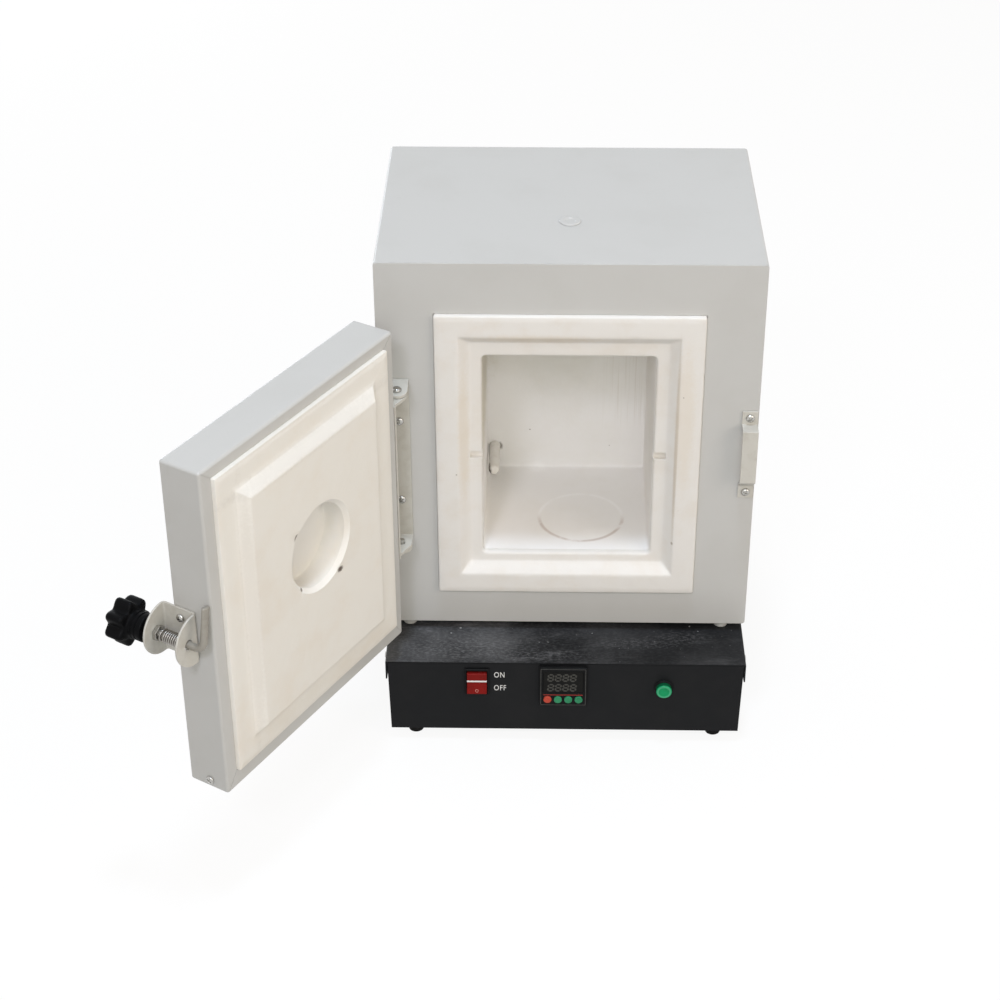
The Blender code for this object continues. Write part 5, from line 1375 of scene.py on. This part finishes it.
def makeFigures():
    inputs = [("Stroke", "Float", 0.001), ("Thick", "Float", 0.0001), ("Finish", "Material", None)]
    tree, given = newTree("figureStrokes", inputs)
    points = given["Points"]
    flat = points.node("GeometryNodeMeshCircle", {"fill_type": "NGON"}, {"Vertices": 6, "Radius": 0.5})
    size = points.node("ShaderNodeCombineXYZ", None, {0: 1.0, 1: given["Stroke"] * 1.15, 2: 1.0})
    flat = points.node("GeometryNodeTransform", None, {"Geometry": flat, "Scale": size})
    raised = points.node("GeometryNodeExtrudeMesh", None, {"Mesh": flat, "Offset Scale": given["Thick"]})
    both = points.node("GeometryNodeFlipFaces", None, {"Mesh": flat})
    whole = points.node("GeometryNodeJoinGeometry", None, {0: [raised, both]})
    whole = points.node("GeometryNodeMergeByDistance", None, {"Geometry": whole, "Distance": 0.000002})
    way = points.node("GeometryNodeInputNamedAttribute", {"data_type": "FLOAT_VECTOR"}, {"Name": "facing"})
    turn = points.node("FunctionNodeAlignRotationToVector", {"axis": "X"}, {"Vector": way})
    long = points.node("ShaderNodeVectorMath", {"operation": "LENGTH"}, {0: way}, "Value")
    size = points.node("ShaderNodeCombineXYZ", None, {0: long, 1: 1.0, 2: 1.0})
    sockets = {"Points": points, "Instance": whole, "Rotation": turn, "Scale": size}
    endTree(points.node("GeometryNodeInstanceOnPoints", None, sockets), given["Finish"])
    low, high = boxIn(furnacePlace, "controller_window")
    wide, tall = display["size"]
    lean, gap = display["lean"], display["stroke"] * 0.35
    across, upright = (wide - gap, 0), ((tall / 2 - gap) * lean, tall / 2 - gap)
    strokes = [(0, 0.5, across), (0, 0, across), (0, -0.5, across)]
    strokes += [(dx, dz, upright) for dx in (-0.5, 0.5) for dz in (-0.25, 0.25)]
    spots, ways = [], []
    for row in display["rows"]:
        for i in range(4):
            x = (i - 1.5) * display["pitch"] + display["shift"]
            for dx, dz, way in strokes:
                spots.append(((x + dx * wide + dz * tall * lean) * mm, (row + dz * tall) * mm, 0))
                ways.append((way[0] * mm, way[1] * mm, 0))
    values = {"Stroke": display["stroke"] * mm, "Thick": display["thick"], "Finish": digitGrey}
    mesh = grown(tree, spots, values, ways)
    middle = Vector(((low.x + high.x) / 2, low.y - 0.01, (low.z + high.z) / 2)) * mm
    mesh.transform(furnacePlace @ Matrix.Translation(middle) @ Matrix.Rotation(math.radians(90), 4, "X"))
    addPiece("displayFigures", mesh, None, "cabinet", digitGrey)


makeFigures()


def makeButtons():
    profile = [(0.0, 0.0), (1.0, 0.0), (1.0, 0.3), (1.0, 0.6), (1.0, 0.86), (0.96, 0.95), (0.86, 0.99),
        (0.7, 1.0), (0.66, 0.985), (0.0, 0.985)]
    tree = stubTree("controllerButton", profile)
    for i in range(1, 5):
        node = f"controller_button_{i}"
        low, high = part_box(node)
        spot = ((low.x + high.x) / 2, high.y, (low.z + high.z) / 2)
        finish, slot = (buttonRed, "button_red") if i == 1 else (buttonGreen, "button_green")
        values = {"Radius": (high.x - low.x) / 2, "Height": high.y - low.y, "Seed": i, "Finish": finish}
        mesh = grown(tree, [spot], values, [front])
        addPiece(f"controllerButton{i}", mesh, None, f"button_{i}", finish, [node], sharp=40)


makeButtons()

# lamp, vent plug and sensor are turned
turnedPieces = [
    ("lampBody", "lamp_body", front, "black_plastic", blackPlastic, 48,
     [(0, 0), (8.3, 0), (8.6, -0.35), (9.2, -0.4), (9.6, -0.7), (9.8, -1.1), (9.8, -1.6), (7.8, -1.6),
         (7.8, -31.6), (0, -31.6)]),
    ("lampLens", "lamp_lens", front, "green_lens", lensGreen, 48,
     [(0, -0.35), (4.6, -0.3), (5.9, -0.2), (6.4, 0), (7.0, -0.05), (7.5, -0.35), (7.85, -0.9),
         (8.0, -1.6), (8.0, -5.2), (0, -5.2)]),
    ("ventPlug", "vent_plug", (0, 0, 1), "grey_paint", casingPaint, 56,
     [(0, -0.85), (3.9, -0.85), (4.5, -0.75), (5.0, -0.4), (5.4, -0.08), (5.9, 0), (8.8, 0),
         (9.5, -0.12), (10.1, -0.5), (10.4, -0.9),
      (10.5, -1.2), (8.0, -1.2), (8.0, -9.2), (0, -9.2)]),
    ("sensorSheath", "thermocouple", back, "sensor_ceramic", sensorCeramic, 40,
     [(0, -0.6), (8.2, -0.6), (8.6, 0), (10.2, 0), (10.8, -0.4), (11, -1), (11, -4), (10.4, -4.6),
         (10.4, -7), (11, -7.6), (11, -11.4),
      (10.6, -12), (5.5, -12), (5.5, -154.6), (5.1, -156.4), (4.0, -157.6), (2.2, -158.1), (0, -158.1)]),
]
for pieceName, node, way, slot, finish, sides, profile in turnedPieces:
    low, high = boxIn(furnacePlace, node)
    tip = (low + high) / 2
    for i in range(3):
        if way[i]:
            tip[i] = high[i] if way[i] > 0 else low[i]
    mesh = meshOf(turned(profile, sides))
    mesh.transform(Matrix.Translation(tip) @ facing(way))
    addPiece(pieceName, mesh, furnacePlace, "cabinet", finish, [node], sharp=40)
print("controls made")

# words and lines on the base's front
words = {"ON": (-66.0, 83.0), "OFF": (-65.4, 66.6)}
wordLook = {"height": 6.7, "narrow": 0.7, "thick": 0.05, "bold": 0.004, "space": 1.14}


def addWord(text, spot):
    curve = bpy.data.curves.new(text, "FONT")
    curve.body, curve.align_x, curve.align_y = text, "CENTER", "CENTER"
    curve.size, curve.offset, curve.extrude = 1.0, wordLook["bold"], 0.01
    curve.space_character = wordLook["space"]
    carrier = placed("word", curve)
    mesh = plainMesh(carrier)
    bpy.data.objects.remove(carrier)
    tall = max(v.co.y for v in mesh.vertices) - min(v.co.y for v in mesh.vertices)
    scale = wordLook["height"] / tall
    mesh.transform(Matrix.Diagonal((scale * wordLook["narrow"], scale, wordLook["thick"] / 0.02, 1)))
    mesh.transform(Matrix.Translation((spot[0], trayLow.y - wordLook["thick"] / 2,
        spot[1])) @ Matrix.Rotation(math.radians(90), 4, "X"))
    outward(mesh)
    addPiece("word" + text.capitalize(), mesh, furnacePlace, "cabinet", whiteInkAndHighlight, sharp=30)


for text, spot in words.items():
    addWord(text, spot)
caseLow, caseHigh = boxIn(furnacePlace, "controller_case")
line = softBlock((caseLow.x + 4.2, caseLow.y - 0.05, 62.3), (caseHigh.x - 4.2, caseLow.y + 0.15, 63.1),
    0.05, 6)
addPiece("controllerLine", meshOf(line), furnacePlace, "cabinet", lineRed)
# painted highlight: a thin grey line round the controller's face, inside its edge
loops = []
for inset, y in ((1.3, 0.1), (1.3, -0.05), (1.9, -0.05), (1.9, 0.1)):
    a, b = (caseLow.x + inset, caseLow.z + inset), (caseHigh.x - inset, caseHigh.z - inset)
    loops.append([(u, caseLow.y + y, v) for u, v in rectLoop(a, b, 1.4 - inset * 0.4, 0, 6)])
addPiece("controllerEdgeHighlight", meshOf(loft(loops, ring=True)), furnacePlace, "cabinet",
    edgeHighlightGrey)

# pins in the inlet
pins = []
for x, z in ((-7, 1.6), (0, -2.4), (7, 1.6)):
    middle = (inletLow.x + inletHigh.x) / 2 + x
    pins.append(softBlock((middle - 1, 248, inletMiddle + z - 2),
        (middle + 1, 260.5, inletMiddle + z + 2), 0.5, 4))
whole = bmesh.new()
for pin in pins:
    mesh = meshOf(pin)
    whole.from_mesh(mesh)
addPiece("inletPins", meshOf(whole), furnacePlace, "cabinet", steel)
print("small pieces made")

# studio: pale floor, soft lamps, the photograph's camera
view = {  # in metres from the front panel's foot
    "spot": (-0.023878, -1.727545, 1.404999), "yaw": -1.1092, "pitch": 31.6871, "roll": -0.1177,
    "lens": 76.0405, "shift": (-0.008625, -0.071869),
}


def addCamera():
    data = bpy.data.cameras.new("view")
    data.sensor_width, data.sensor_fit, data.lens = 36, "HORIZONTAL", view["lens"]
    data.shift_x, data.shift_y = view["shift"]
    yaw, pitch, roll = (math.radians(view[key]) for key in ("yaw", "pitch", "roll"))
    ahead = Vector((math.sin(yaw) * math.cos(pitch), math.cos(yaw) * math.cos(pitch), -math.sin(pitch)))
    side = Vector((math.cos(yaw), -math.sin(yaw), 0))
    low = ahead.cross(side)
    rightWay = side * math.cos(roll) - low * math.sin(roll)
    downWay = side * math.sin(roll) + low * math.cos(roll)
    turn = Matrix((rightWay, -downWay, -ahead)).transposed().to_4x4()
    camera = placed("camera", data)
    camera.matrix_world = furnacePlace @ Matrix.Translation(view["spot"]) @ turn
    scene.camera = camera


def addLamp(name, spot, target, size, power, colour):
    data = bpy.data.lights.new(name, "AREA")
    data.shape, data.size, data.energy, data.color = "DISK", size, power, colour
    lamp = placed(name, data)
    way = Vector(target) - Vector(spot)
    lamp.matrix_world = furnacePlace @ Matrix.Translation(spot) @ way.to_track_quat("-Z",
        "Y").to_matrix().to_4x4()


lamps = [
    ("overhead", (-0.009, -0.356, 3.35), (-0.01, 0.08, 0.3), 0.45, 33, (0.82, 1.0, 1.24)),
    ("frontSoft", (-0.659, -2.366, 2.55), (-0.01, 0, 0.3), 0.5, 19, (0.99, 1.0, 1.14)),
    ("rightFill", (2.091, -1.616, 1.5), (-0.01, 0, 0.3), 1.6, 16, (1.16, 1.0, 0.85)),
    ("frontWide", (0.091, -3.016, 1.75), (-0.01, 0, 0.3), 1.6, 21, (0.96, 1.0, 0.96)),
    ("backFill", (-1.5, 2.7, 0.8), (-0.05, 0.1, 0.3), 1.6, 16, (0.92, 1.0, 1.08)),
]
for lamp in lamps:
    addLamp(*lamp)
addCamera()


def seenRays(tree):  # 1 for rays that show the background
    path = Wire(tree).node("ShaderNodeLightPath", out="Is Camera Ray")
    glossy = path.node("ShaderNodeLightPath", out="Is Glossy Ray")
    through = path.node("ShaderNodeLightPath", out="Is Transmission Ray")
    return path.maths("MINIMUM", path + glossy + through, 1.0)


world = bpy.data.worlds.new("studio")
scene.world = world
world.use_nodes = True
sky = world.node_tree.nodes["Background"]
feed(sky, "Color", tint(seenRays(world.node_tree), (0.49, 0.45, 0.395), (1, 1, 1)))

floorMaterial = bpy.data.materials.new("paleFloor")
floorMaterial.use_nodes = True
tree = floorMaterial.node_tree
tree.nodes.remove(tree.nodes["Principled BSDF"])
seen = seenRays(tree)
matt = seen.node("ShaderNodeBsdfDiffuse", None, {"Color": tint(seen, (0.5, 0.5, 0.5), (1, 1, 1))})
glow = seen.node("ShaderNodeEmission", None, {"Color": (1, 1, 1, 1), "Strength": 1.0})
mixed = seen.node("ShaderNodeMixShader", None, {0: seen * 0.9, 1: matt, 2: glow})
tree.links.new(mixed.socket, tree.nodes["Material Output"].inputs["Surface"])
floorMesh = bpy.data.meshes.new("floor")
floorMesh.from_pydata([(-30, -30, 0), (30, -30, 0), (30, 30, 0), (-30, 30, 0)], [], [(0, 1, 2, 3)])
floorMesh.materials.append(floorMaterial)
floor = placed("floor", floorMesh)
scene.view_settings.view_transform = "Standard"
print("studio set")
